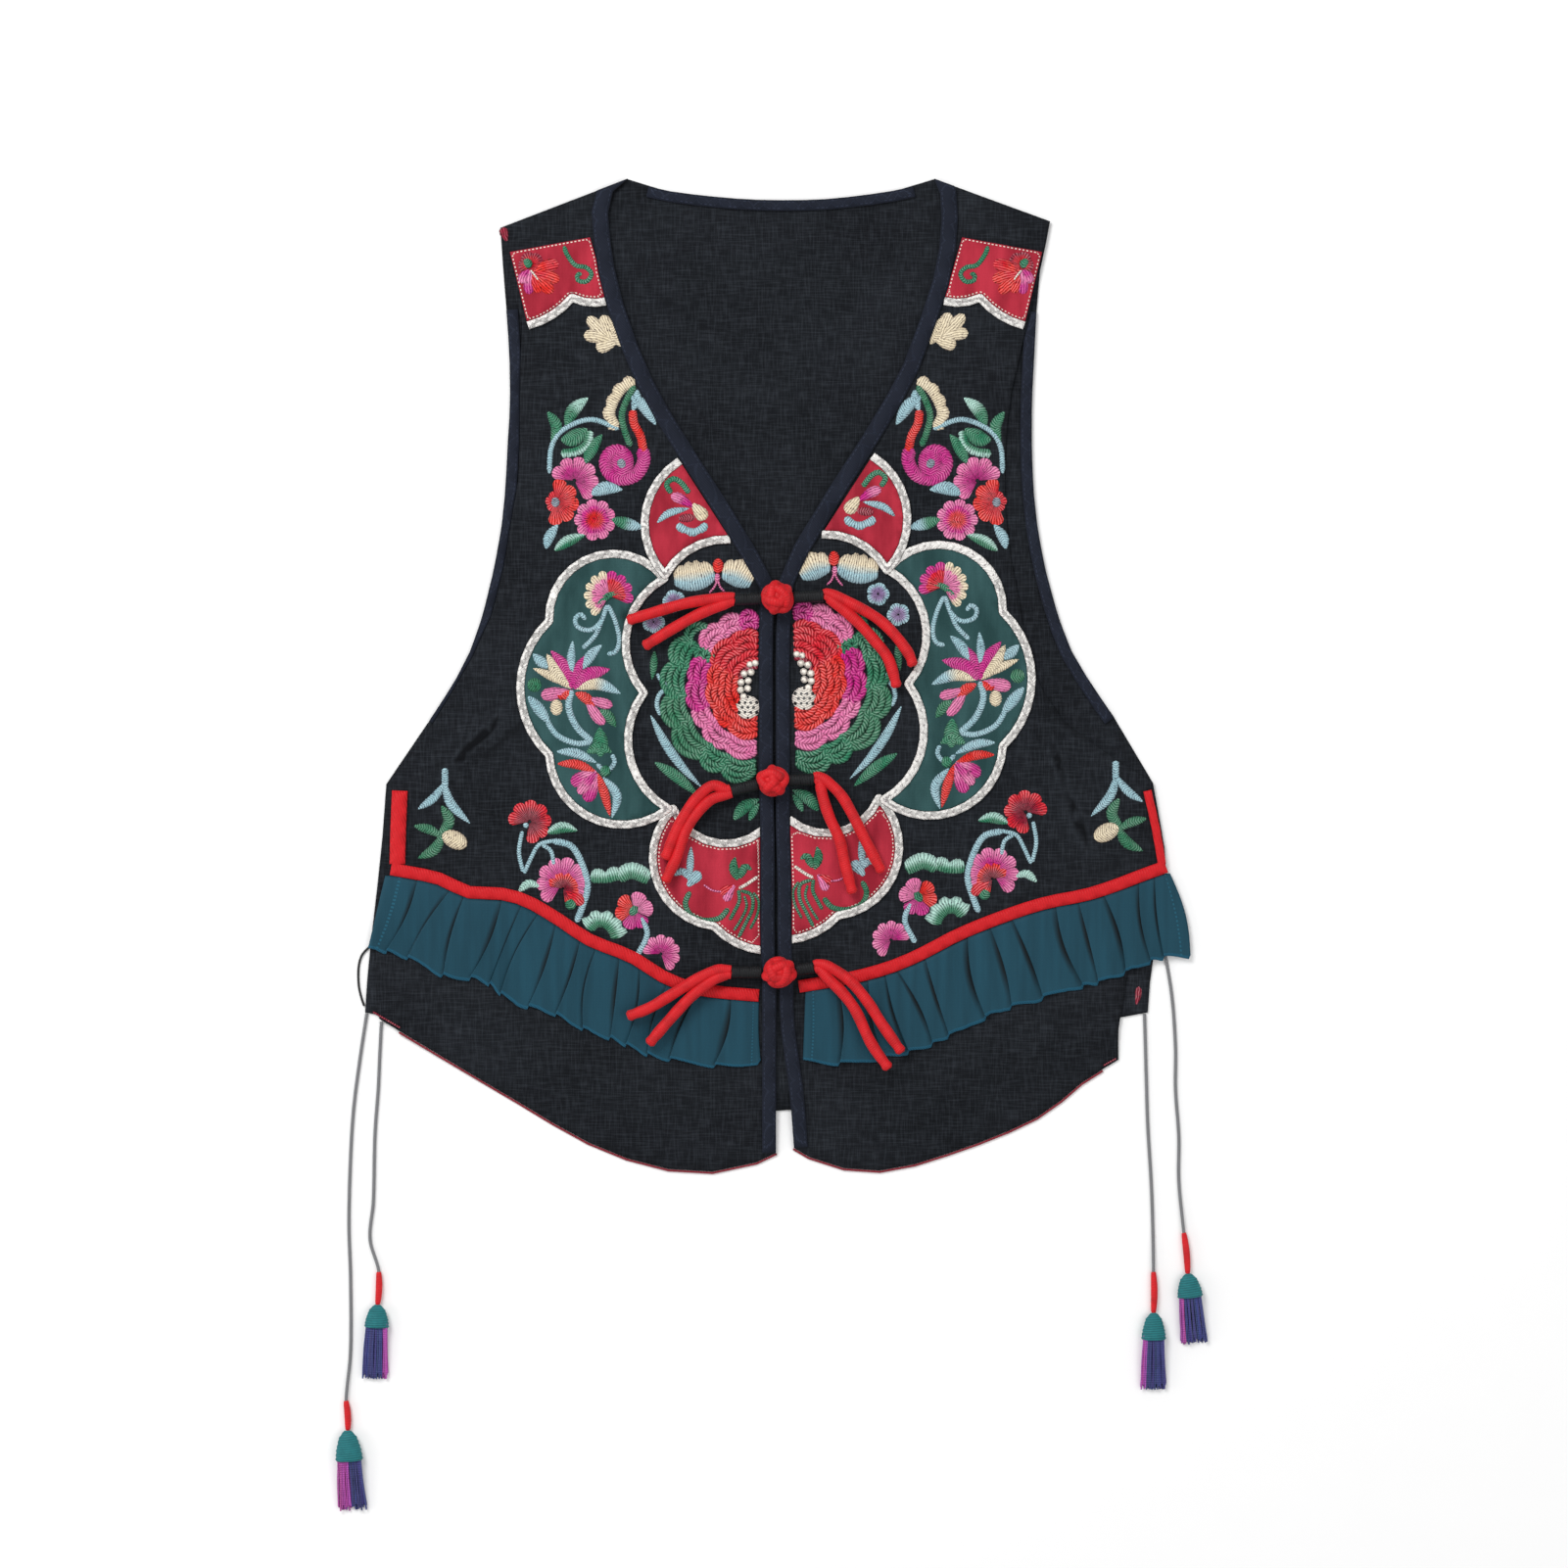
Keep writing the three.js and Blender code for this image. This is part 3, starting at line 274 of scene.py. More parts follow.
LOW_FLOWERS = [
    stem("blue", 3.6, (-84, -148), (-80, -159), (-86.5, -173)),
    bloom("orange", 12.0, 2, 110, 110, (-88, -144.5)),
    bloom("pink", 12.0, 2, -20, 120, (-88, -144.5)),
    bloom("magenta", 12.0, 2, 225, 105, (-88, -144.5)),
    over(oval("green", 7.2, (-90.5, -143), (-86, -146))),
    scallops("green>mint", 10.2, 5, (-117.5, -155.5), (-112, -150.5), (-105, -150.5), (-99.5, -155.5),
             (-97, -161.5)),
    bloom("pink>magenta", 12.0, 7, -70, 250, (-71.5, -171)),
]
CORNER = [
    stem("blue", 4.2, (-203.7, -57), (-203.8, -69)),
    leaf("blue", 5.4, (-220.6, -82.4), (-210.7, -75.3), (-203, -65)),
    leaf("blue", 6.0, (-204.5, -65), (-200.5, -78.5), (-188.4, -91.3)),
    leaf("moss", 7.2, (-206, -80), (-201.5, -90), (-209, -100)),
    leaf("moss", 6.0, (-223, -92.5), (-213, -95), (-205, -100)),
    leaf("moss", 7.2, (-205, -98), (-210.5, -107), (-220.6, -112.5)),
    over(oval("beige", 10.8, (-205.5, -97.5), (-198, -101), (-190.5, -105))),
]
PEONY_LEAVES = [
    stem("blue", 2.4, (-74, 1), (-71, -4), (-65, -7)),
    stem("blue", 3.0, (-65, -7), (-72, -11.5), (-74, -18.5), (-71.5, -25)),
    leaf("blue", 6.0, (-78, -24.5), (-68.5, -42.5), (-58, -57), (-46, -69.5)),
    leaf("green", 7.2, (-75.5, -53.5), (-62.5, -62), (-48.5, -74)),
    leaf("moss", 4.8, (-75.5, 15), (-76, 5.5), (-77, -3)),
    leaf("green", 7.8, (-27, -89), (-20.5, -81), (-11, -76)),
    leaf("green", 4.8, (-17.5, -89.5), (-14.5, -83.5), (-11, -78.5)),
]


# Small red ends that show at one shoulder and at the other side's vent.
TACKS = {
    "left": [
        petal("crimson", 5.4, (-166, 266), (-167.5, 270), (-168.5, 274.5)),
        stem("crimson", 1.2, (-248.5, -206.5), (-240, -211.3), (-231, -216.6)),
    ],
    "right": [
        petal("crimson", 4.2, (-222, -202), (-223, -197), (-223.5, -191)),
        stem("crimson", 1.0, (-201.5, -239.8), (-205.5, -237.5), (-210, -235)),
    ],
}

# Clusters and how the right front's copy is moved from the mirror image: dx, dy in mm.
CLUSTERS = {
    "shoulder": (SHOULDER, 0, 0),
    "crest": (CREST, 0, 1.5),
    "bird": (BIRD, 0, 0),
    "upper_petal": (UPPER_PETAL, 0, 4),
    "butterfly": (BUTTERFLY, 0, 4.5),
    "lobe": (LOBE, 0, 5.5),
    "lower_petal": (LOWER_PETAL, 0, 6.5),
    "spray": (SPRAY, 2, 6),
    "low_flowers": (LOW_FLOWERS, 0, 8.5),
    "corner": (CORNER, 5.4, 4.5),
    "peony_leaves": (PEONY_LEAVES, 0, 5.5),
}

# The half peony: petals of concentric stitched rows round a point on the opening. Angles run
# from straight up, round the outside, to straight down; radii are in millimetres.
PEONY_CENTRE = (-11.5, -8.0)
PEONY_LIFT = 5.5  # how much higher the right half sits
PEONY_HEIGHT = 1.7  # how far its rows rise from the linen
SEED_HEIGHT = 2.6
ROW_POINTS = 26  # on the line of one stitched row
PeonyPetal = namedtuple("PeonyPetal", "thread start end inner outer rows lobes")
PEONY_PETALS = [
    PeonyPetal("green", 40, 60, 50.5, 58, 2, 1),
    PeonyPetal("green", 54, 98, 45.5, 61.5, 4, 2),
    PeonyPetal("green", 53, 66, 33.5, 46, 3, 1),
    PeonyPetal("moss", 94, 142, 46, 63.5, 4, 2),
    PeonyPetal("green", 138, 178, 45.5, 61, 4, 2),
    PeonyPetal("pink", 14, 55, 37, 50.5, 3, 2),
    PeonyPetal("magenta", 1, 17, 37, 49, 3, 1),
    PeonyPetal("magenta", 62, 112, 32.5, 46.5, 3, 2),
    PeonyPetal("pink", 106, 178, 33, 46.5, 3, 3),
    PeonyPetal("red", 1, 66, 15, 38.5, 5, 2),
    PeonyPetal("orange", 60, 118, 13, 34, 5, 2),
    PeonyPetal("orange", 114, 178, 13, 34, 5, 2),
    PeonyPetal("crimson", 2, 70, 12, 15, 1, 1),
]
SEED_STRING = [
    (-17, 6.4), (-20.6, 0.6), (-22.4, -4.6), (-22.7, -9.2), (-20.8, -13.4),
    (-13.8, 7.2), (-16.3, 1.6), (-18, -3.6), (-18.4, -8.4),
]
SEED_RADIUS = 2.2
SEED_NET = {"centre": (-18.2, -20), "radius": 7.4, "pitch": 3.4, "dot": 1.3}

# Soft troughs (height below 0) and ridges on the cloth, in mm on the pattern sheet.
Crease = namedtuple("Crease", "x1 y1 x2 y2 height width")
CREASES = {
    "front_left": [
        Crease(-160, -16, -209, -67, 1.1, 7), Crease(-150, -22, -190, -60, -0.6, 9),
        Crease(-178, -96, -150, -120, 0.5, 8), Crease(-128, 150, -120, 70, 0.35, 12),
        Crease(-88, -100, -60, -160, 0.4, 9), Crease(-150, 100, -152, 40, -0.3, 9),
    ],
    "front_right": [
        Crease(166, -34, 176, -68, 0.9, 6), Crease(176, -68, 192, -110, 0.9, 7),
        Crease(158, -14, 194, -45, -0.6, 8), Crease(150, -20, 152, -60, 0.5, 6),
        Crease(120, 140, 112, 60, 0.35, 12), Crease(70, -110, 52, -160, 0.35, 9),
    ],
    "back_panel": [
        Crease(-70, 260, -50, 110, -0.2, 25), Crease(75, 270, 30, 100, 0.2, 22),
        Crease(-60, -262, -20, -300, 0.5, 7), Crease(-48, -258, -52, -300, 0.4, 6),
        Crease(60, -245, 150, -262, 0.4, 8), Crease(-180, -235, -120, -262, 0.35, 8),
        Crease(150, -225, 190, -248, 0.3, 7),
    ],
}

# Fold lines of the frills, from the tape to the hem: where each starts and ends along x.
FRILL_FOLDS = {
    "left": [
        (-240.5, -251), (-221, -240), (-201, -226.8), (-192.6, -205), (-169.2, -188.5), (-157.2, -176.5),
        (-147, -169.8), (-136.2, -153), (-121.2, -136.2), (-111.6, -119.4), (-97.2, -102.6),
        (-84.6, -93), (-68, -80), (-50.4, -66.6), (-28.8, -39), (-11.5, -10.5),
    ],
    "right": [
        (17, 15.5), (37, 38), (55, 64), (66, 80), (73.2, 94.8), (90, 104.5), (116.4, 127.2),
        (130, 143), (143.4, 162), (170.4, 187.2), (184.2, 196.2), (199.8, 213),
        (221.4, 228.6), (231, 236.4), (240.5, 253),
    ],
}

# Knot buttons' cords: where each sleeve ends on either side, and the routes of the two
# tails from there outward.
Frog = namedtuple("Frog", "x y left right climb tilt")
FROGS = [
    Frog(0, 47, (-26, 46), (28, 48), 0, (55, 20)),
    Frog(-3, -65, (-28, -71), (22, -64), 0, (35, 75)),
    Frog(1, -182, (-28, -182), (22, -179), 2.4, (62, -35)),
]
TAILS = [
    {
        "left": [[(-54, 44), (-79, 37), (-92, 33)], [(-48, 37), (-66, 27), (-82, 17)]],
        "right": [[(44, 44), (60, 35), (71, 25), (80, 13), (83, 5)],
                  [(47, 34), (60, 20), (68, 9), (73, -8)]],
    },
    {
        "left": [[(-40, -68), (-49, -75), (-57, -86), (-64, -100), (-69, -113)],
                 [(-40, -76), (-48, -83), (-56, -95), (-62, -112), (-69, -127)]],
        "right": [[(31, -66), (39, -74), (46, -86), (53, -100), (64, -121)],
                  [(28, -76), (32, -88), (38, -101), (41, -115), (46, -134)]],
    },
    {
        "left": [[(-38, -181), (-49, -186), (-67, -197), (-79, -204), (-92, -209)],
                 [(-40, -187), (-53, -197), (-67, -212), (-79, -226)]],
        "right": [[(32, -179), (44, -187), (55, -200), (64, -214), (76, -231)],
                  [(31, -186), (40, -195), (48, -206), (57, -225), (68, -241)]],
    },
]
FROG_HEIGHT = 8.8  # of the cords' middle above the floor
FROG_APART = 1.6  # half the distance between the two tails where they leave the sleeve
FROG_RADIUS = 3.45

# Ties: the cord's route on the floor, the sleeve's far end, and the tassel's sizes.
# The last value is the pink strands' share of the width, below 0 on the other edge.
Tie = namedtuple("Tie", "name route sleeve cap_width cap_length strands pink")
TIES = [
    Tie("left_outer",
        [(-252, -207.6), (-256, -234), (-260, -265), (-262, -296), (-263, -337), (-262, -369),
         (-262, -415), (-264.6, -445)], (-263.5, -463), 16.8, 18.6, 31, -0.5),
    Tie("left_inner",
        [(-243, -212.8), (-244, -232), (-245, -254), (-247, -282), (-248, -323), (-250, -346),
         (-244.5, -366)], (-245.2, -386), 15, 14, 32, 0.23),
    Tie("right_inner",
        [(225, -207.9), (226, -245), (227, -277), (229, -310), (230, -337), (230.4, -366)],
        (230.4, -391), 15, 16.5, 31, -0.23),
    Tie("right_outer",
        [(234.7, -153), (238, -173), (242, -199), (244, -229), (244, -254), (246, -283),
         (246, -310), (249, -342)], (251.4, -367), 15.6, 14.5, 29, -0.23),
]
TIE_RADIUS = 1.0
TIE_SLEEVE_RADIUS = 2.1
LOOP_RADIUS = 0.7
SIDE_LOOP = [(-250.7, -167), (-255, -172), (-257, -179), (-257, -190), (-255.6, -197), (-253.7, -203)]
REST_GAP = 0.05  # between a cord and the floor


# ------------------------------------------------------------------ sizes and colours
def srgb(code):
    """A written colour such as d8232f as the three numbers that Blender works in."""
    parts = [int(code[k:k + 2], 16) / 255 for k in (0, 2, 4)]
    return tuple(c / 12.92 if c <= 0.04045 else ((c + 0.055) / 1.055) ** 2.4 for c in parts)


def colour(name, about, code):
    return bpy.props.FloatVectorProperty(
        name=name, description=about, default=srgb(code), subtype="COLOR", size=3, min=0, max=1)


def length(name, about, millimetres):
    return bpy.props.FloatProperty(
        name=name, description=about, default=millimetres * MM, unit="LENGTH", min=0, precision=5)


class WAISTCOAT_PG_threads(bpy.types.PropertyGroup):
    """Colours of the embroidery threads."""

    green: colour("Green", "Leaves and the peony's outer petals", "2f8661")
    moss: colour("Moss", "The darker green of small leaves and tendrils", "35805c")
    mint: colour("Mint", "Pale edges of leaves", "b4e2d3")
    blue: colour("Pale blue", "Stems and pale leaves", "a6d0da")
    lilac: colour("Lilac", "Hearts of the small pale flowers", "a98cc0")
    beige: colour("Beige", "The bird's crest and pale petals", "f6e6c3")
    grey: colour("Grey", "Flower centres", "8e9aa6")
    dark: colour("Dark", "Dots among the peonies' seeds", "1a1a1e")
    white: colour("White", "Pale petals and the peony's seeds", "fff8ea")
    pink: colour("Pink", "Petals", "f07db2")
    magenta: colour("Magenta", "Petals and the bird's tail", "d41f8e")
    red: colour("Red", "Petals", "e3142c")
    orange: colour("Warm red", "The peony's heart and the bird's neck", "f02a22")
    crimson: colour("Crimson", "The deepest petals", "9c1636")


class WAISTCOAT_PG_cloth(bpy.types.PropertyGroup):
    """Colours of the cloths, tapes and cords."""

    linen: colour("Linen", "Ground of the black linen", "0b0d11")
    linen_thread: colour("Linen thread", "Lighter slubs in the linen", "2c3036")
    binding: colour("Binding", "Strips round the neck, opening and armholes", "12151e")
    binding_stitch: colour("Binding stitch", "Stitches along the strips", "2e3546")
    crimson: colour("Crimson cotton", "Patches at the shoulders and petals", "af1a33")
    green: colour("Green cotton", "The lobes at the sides", "20494a")
    braid: colour("Braid", "White edging round the patches", "f8f6f1")
    braid_tick: colour("Braid tick", "Dark ticks of the braid's weave", "6b5560")
    tape: colour("Tape", "The tape above the frill, the knots and cords", "d4111c")
    chiffon: colour("Chiffon", "The frill", "134050")
    chiffon_edge: colour("Chiffon edge", "The frill's stitched hem", "1f6482")
    whipping: colour("Whipping", "Black thread round the cords", "090b0e")
    tie: colour("Tie", "The ties' thin cord", "87888b")
    piping: colour("Piping", "The fine red line on the hem", "8a2735")
    cap: colour("Tassel cap", "Wound thread of the tassels' heads", "1d8085")
    strand: colour("Tassel strand", "Most of the tassels' strands", "484d90")
    strand_pink: colour("Pink strand", "The strands along one edge of each tassel", "c45dbe")


class WAISTCOAT_PG_sizes(bpy.types.PropertyGroup):
    """Sizes of what the cloth carries."""

    linen_edge: length("Linen mesh", "Longest edge in the linen's mesh", 5)
    trim_edge: length("Trim mesh", "Longest edge in the mesh of bands, tapes and braid", 2.2)
    wrinkle: length("Wrinkle", "Height of the linen's slight waviness", 0.3)
    tape_puff: length("Tape puff", "How far the red tape swells between its edges", 0.8)
    braid_puff: length("Braid puff", "How far the white braid swells", 0.8)
    band_puff: length("Band puff", "How far the binding swells", 0.35)
    patch_puff: length("Patch puff", "How far the padded patches swell", 0.5)
    stitch: length("Stitch height", "Height of satin stitch above the cloth", 0.8)
    thread: length("Thread pitch", "Distance between bundles of stitches", 1.5)
    pleat: length("Pleat lift", "Height of the frill's folds at the hem", 2.6)
    chiffon: length("Chiffon", "Thickness of the frill's cloth", 0.4)


def sizes():
    return bpy.context.scene.waistcoat_sizes


def threads():
    return bpy.context.scene.waistcoat_threads


def cloth():
    return bpy.context.scene.waistcoat_cloth


# ------------------------------------------------------------------ finishes
class Number:
    """A number socket in a finish. Its operators add Math nodes."""

    def __init__(self, finish, socket):
        self.finish = finish
        self.socket = socket

    def math(self, operation, *values):
        node = self.finish.add("ShaderNodeMath", {"operation": operation}, dict(enumerate(values)))
        return Number(self.finish, node.outputs[0])

    def __add__(self, other):
        return self.math("ADD", self, other)

    __radd__ = __add__

    def __sub__(self, other):
        return self.math("SUBTRACT", self, other)

    def __rsub__(self, other):
        return self.math("SUBTRACT", other, self)

    def __mul__(self, other):
        return self.math("MULTIPLY", self, other)

    __rmul__ = __mul__

    def __truediv__(self, other):
        return self.math("DIVIDE", self, other)

    def __rtruediv__(self, other):
        return self.math("DIVIDE", other, self)

    def __pow__(self, other):
        return self.math("POWER", self, other)

    def __rpow__(self, other):
        return self.math("POWER", other, self)

    def __lt__(self, other):
        return self.math("LESS_THAN", self, other)

    def __gt__(self, other):
        return self.math("GREATER_THAN", self, other)

    def wave(self, pitch):
        """A wave from 0 to 1 that repeats every pitch."""
        return self.math("SINE", self * (2 * math.pi / pitch)) * 0.5 + 0.5

    def part_of(self, pitch):
        """How far through its pitch, from 0 to 1."""
        return self.math("FRACT", self / pitch)

    def size(self):
        return self.math("ABSOLUTE", self)

    def kept(self):
        return self.math("MINIMUM", self.math("MAXIMUM", self, 0.0), 1.0)


class Finish:
    """A material made of nodes round one shader."""

    def __init__(self, name, sheen=0.0, specular=0.5):
        self.material = bpy.data.materials.new(name)
        self.material.use_nodes = True
        self.tree = self.material.node_tree
        self.shader = self.tree.nodes["Principled BSDF"]
        self.put(self.shader.inputs["Sheen Weight"], sheen)
        self.put(self.shader.inputs["Specular IOR Level"], specular)

    def put(self, socket, value):
        if isinstance(value, Number):
            value = value.socket
        if isinstance(value, bpy.types.NodeSocket):
            self.tree.links.new(value, socket)
        elif isinstance(value, tuple) and len(value) == 3 and socket.type == "RGBA":
            socket.default_value = (*value, 1.0)
        else:
            socket.default_value = value

    def add(self, kind, settings=None, values=None):
        node = self.tree.nodes.new(kind)
        for key, value in (settings or {}).items():
            setattr(node, key, value)
        for key, value in (values or {}).items():
            self.put(node.inputs[key], value)
        return node

    def place(self, scale=(1, 1, 1), turn=0.0):
        """The place on the object, stretched and turned about the vertical."""
        at = self.add("ShaderNodeTexCoord").outputs["Object"]
        mapping = self.add("ShaderNodeMapping", {}, {
            "Vector": at, "Scale": scale, "Rotation": (0.0, 0.0, turn)})
        return mapping.outputs[0]

    def axes(self, vector):
        node = self.add("ShaderNodeSeparateXYZ", {}, {0: vector})
        return [Number(self, out) for out in node.outputs]

    def attribute(self, name):
        return self.add("ShaderNodeAttribute", {"attribute_name": name})

    def noise(self, scale, detail=2.0, vector=None):
        node = self.add("ShaderNodeTexNoise", {}, {
            "Vector": vector or self.place(), "Scale": scale, "Detail": detail})
        return Number(self, node.outputs[0])

    def mix(self, amount, first, second, blend="MIX"):
        node = self.add("ShaderNodeMix", {"data_type": "RGBA", "blend_type": blend},
                        {0: amount, 6: first, 7: second})
        return node.outputs[2]

    def bump(self, height, distance, strength):
        values = {"Height": height, "Distance": distance, "Strength": strength}
        return self.add("ShaderNodeBump", {}, values).outputs[0]

    def paint(self, base, roughness, normal=None):
        self.put(self.shader.inputs["Base Color"], base)
        self.put(self.shader.inputs["Roughness"], roughness)
        if normal is not None:
            self.put(self.shader.inputs["Normal"], normal)
        return self.material


def steep(value, middle, width):
    """A soft step from 0 to 1 about the middle."""
    return ((value - (middle - width / 2)) / width).kept()


def linen_finish(name, ground, lighter, hem=None):
    """Slubby plain weave, painted nearly black as shade in its deep creases and painted lighter as a
    highlight where it rises a little. Past the hem line given, where one layer alone lies on the floor, the
    linen looks greyer and its weave shows more."""
    linen = Finish(name, sheen=0.02, specular=0.12)
    x, y, _ = linen.axes(linen.place())
    _, _, rise = linen.axes(linen.attribute("rim").outputs["Vector"])
    # painted shade: where the cloth rises or sinks by more than about 0.6 mm, in a crease or on a sharp
    # ridge, it is painted nearly black
    shaded_crease = steep(rise.size(), 0.6 * MM, 0.4 * MM)
    warp = linen.noise(1.0, 4.0, linen.place((950, 90, 60)))
    weft = linen.noise(1.0, 4.0, linen.place((80, 950, 60)))
    broad = linen.noise(14.0, 3.0)
    weave = x.wave(1.3 * MM) * y.wave(1.3 * MM)
    slubs = steep(warp, 0.57, 0.24) * 0.5 + steep(weft, 0.57, 0.24) * 0.5
    lit = slubs * 0.8 + weave * 0.12 + steep(broad, 0.5, 0.5) * 0.25
    if hem is not None:
        lit = lit + steep(0 - y, -hem, 0.05) * (slubs * 0.3 + 0.12)
    # painted shade in the deep creases, and a painted highlight where the cloth rises a little
    lit = lit * (1 - shaded_crease) + steep(rise, 0.35 * MM, 0.5 * MM) * (1 - shaded_crease) * 0.3
    base = linen.mix(lit.kept(), ground, lighter)
    height = warp + weft + weave * 0.5
    return linen.paint(base, 0.92 - slubs * 0.1, linen.bump(height, 0.2 * MM, 0.5))


def binding_finish():
    """Folded strip with a faint line of stitches beside each edge."""
    strip = Finish("navy_binding", sheen=0.02, specular=0.15)
    along, inward, _ = strip.axes(strip.attribute("rim").outputs["Vector"])
    x, y, _ = strip.axes(strip.place())
    line = (inward - 1.3 * MM).size() < 0.3 * MM
    stitch = line * (along.part_of(3.0 * MM) < 0.6)
    twill = (x + y).wave(1.6 * MM)
    shade = strip.noise(60.0, 3.0)
    base = strip.mix((stitch * 0.5 + shade * 0.35 + twill * 0.12).kept(), tuple(cloth().binding),
                     tuple(cloth().binding_stitch))
    height = twill * 0.3 + stitch * 0.6 - line * 0.5 + shade * 0.6
    return strip.paint(base, 0.82 - stitch * 0.1, strip.bump(height, 0.3 * MM, 0.6))


def cotton_finish(name, ground, stitched):
    """Fine plain cotton, creased a little, with painted shade in its folds and a painted highlight where it
    rises between them, and a row of light stitches along its edge.
    """
    cotton = Finish(name, sheen=0.05, specular=0.2)
    along, inward, _ = cotton.axes(cotton.attribute("rim").outputs["Vector"])
    x, y, _ = cotton.axes(cotton.place())
    weave = x.wave(0.9 * MM) * y.wave(0.9 * MM)
    folds = cotton.noise(1.0, 4.0, cotton.place((75, 22, 40)))
    stitch = ((inward - 0.9 * MM).size() < 0.35 * MM) * (along.part_of(2.4 * MM) < 0.5) * stitched
    # painted shade and painted highlight: darker in the folds, lighter on the cloth that rises between them
    dark = tuple(c * 0.66 for c in ground)
    light = tuple(min(1.0, c * 1.12 + 0.012) for c in ground)
    base = cotton.mix(steep(folds, 0.5, 0.3), dark, light)
    base = cotton.mix((weave * 0.16).kept(), base, tuple(c * 0.5 for c in ground))
    base = cotton.mix(stitch, base, tuple(threads().white))
    height = weave * 0.35 + folds * 2.2 + stitch
    return cotton.paint(base, 0.72 - folds * 0.12, cotton.bump(height, 0.35 * MM, 0.7))


def braid_finish():
    """Flat white braid: slanting plaits that meet in the middle, with dark ticks there."""
    braid = Finish("white_braid", sheen=0.05, specular=0.25)
    along, inward, _ = braid.axes(braid.attribute("rim").outputs["Vector"])
    plait = (along + inward * 1.2).wave(2.2 * MM)
    worn = braid.noise(240.0, 2.0)
    seam = steep(inward, 1.7 * MM, 0.5 * MM)
    tick = seam * (along.part_of(2.7 * MM) < 0.42) * steep(worn, 0.42, 0.2)
    nick = (inward < 0.7 * MM) * (along.part_of(3.1 * MM) < 0.3)
    base = braid.mix((plait * 0.12 + worn * 0.08).kept(), tuple(cloth().braid), srgb("b5adb0"))
    base = braid.mix((tick * 0.85 + nick * 0.35).kept(), base, tuple(cloth().braid_tick))
    height = plait + worn - tick
    return braid.paint(base, 0.78 - plait * 0.1, braid.bump(height, 0.4 * MM, 0.8))


def tape_finish(name, red):
    """Tape with fine slanting ribs and small puckers."""
    tape = Finish(name, sheen=0.05, specular=0.25)
    x, y, _ = tape.axes(tape.place())
    rib = (x * 0.94 + y * 0.34).wave(1.6 * MM)
    shade = tape.noise(150.0, 3.0)
    base = tape.mix((rib * 0.2 + shade * 0.35).kept(), red, tuple(c * 0.55 for c in red))
    return tape.paint(base, 0.62 - rib * 0.1, tape.bump(rib * 0.6 + shade * 1.2, 0.4 * MM, 0.8))


def chiffon_finish():
    """Thin crisp cloth with painted shade just before each fold and streaks of painted highlight and shade
    down the frill, a bright overlocked hem and a line of stitches near each end."""
    frill = Finish("teal_chiffon", sheen=0.04, specular=0.2)
    across, down, fold_shade = frill.axes(frill.attribute("frill").outputs["Vector"])
    x, y, _ = frill.axes(frill.place())
    weave = x.wave(0.9 * MM) * y.wave(0.9 * MM)
    streak = frill.noise(1.0, 3.0, frill.place((150, 14, 40)))
    hem = steep(down, 0.965, 0.015)
    overlock = (x + y).wave(1.7 * MM) * hem
    stitch = ((across - 5.5 * MM).size() < 0.5 * MM) * (down.part_of(0.05) < 0.5)
    teal = tuple(cloth().chiffon)
    # painted highlight and painted shade, in streaks that run down the frill between its folds
    base = frill.mix(steep(streak, 0.5, 0.4) * 0.55, tuple(c * 1.12 for c in teal),
                     tuple(c * 0.55 for c in teal))
    base = frill.mix((weave * 0.14).kept(), base,
                     tuple(min(1.0, c * 1.9) for c in teal))
    # painted shade, nearly black just before each fold, where the next pleat's crest overlaps
    base = frill.mix((steep(fold_shade, 0.55, 0.5) * 0.95).kept(), base, tuple(c * 0.05 for c in teal))
    base = frill.mix((hem * 0.5).kept(), base, tuple(cloth().chiffon_edge))
    base = frill.mix(stitch * 0.6, base, tuple(min(1.0, c * 2.4) for c in teal))
    height = weave * 0.3 + streak * 1.5 + overlock - stitch
    return frill.paint(base, 0.55 + streak * 0.15, frill.bump(height, 0.3 * MM, 0.6))


def embroidery_finish():
    """Satin stitch: threads side by side in the colour that each stitch carries, with painted shade between
    the strands and at each shape's edges and a painted highlight along the strands.
    """
    satin = Finish("silk_thread", sheen=0.02, specular=0.2)
    tint = satin.attribute("thread").outputs["Color"]
    ridge, across, _ = satin.axes(satin.attribute("stitch").outputs["Vector"])
    wobble = satin.noise(380.0, 2.0)
    pitch = sizes().thread
    strand = (ridge + wobble * (pitch * 0.9)).wave(pitch)
    fleck = satin.noise(620.0, 2.0)
    tone = satin.noise(110.0, 2.0)
    gap_shade = (1 - strand) ** 2.0
    # dark is the thread's colour in painted shade, light its colour in a painted highlight
    dark = satin.mix(1.0, tint, srgb("5c4e5c"), "MULTIPLY")
    light = satin.mix(0.17, tint, (1.0, 1.0, 1.0))
    # painted shade in the gaps between strands, with darker flecks
    base = satin.mix((gap_shade * 0.6 + steep(fleck, 0.6, 0.16) * 0.5).kept(), tint, dark)
    # painted highlight along the tops of the strands
    base = satin.mix((strand**2.0 * steep(tone, 0.45, 0.3)).kept(), base, light)
    # painted shade towards the edges of each shape, where its stitches round down to the cloth
    edge = across.size() ** 4.0
    base = satin.mix((edge * 0.6).kept(), base, dark)
    height = strand + fleck * 0.7
    return satin.paint(base, 0.58 + gap_shade * 0.2, satin.bump(height, 0.4 * MM, 0.9))


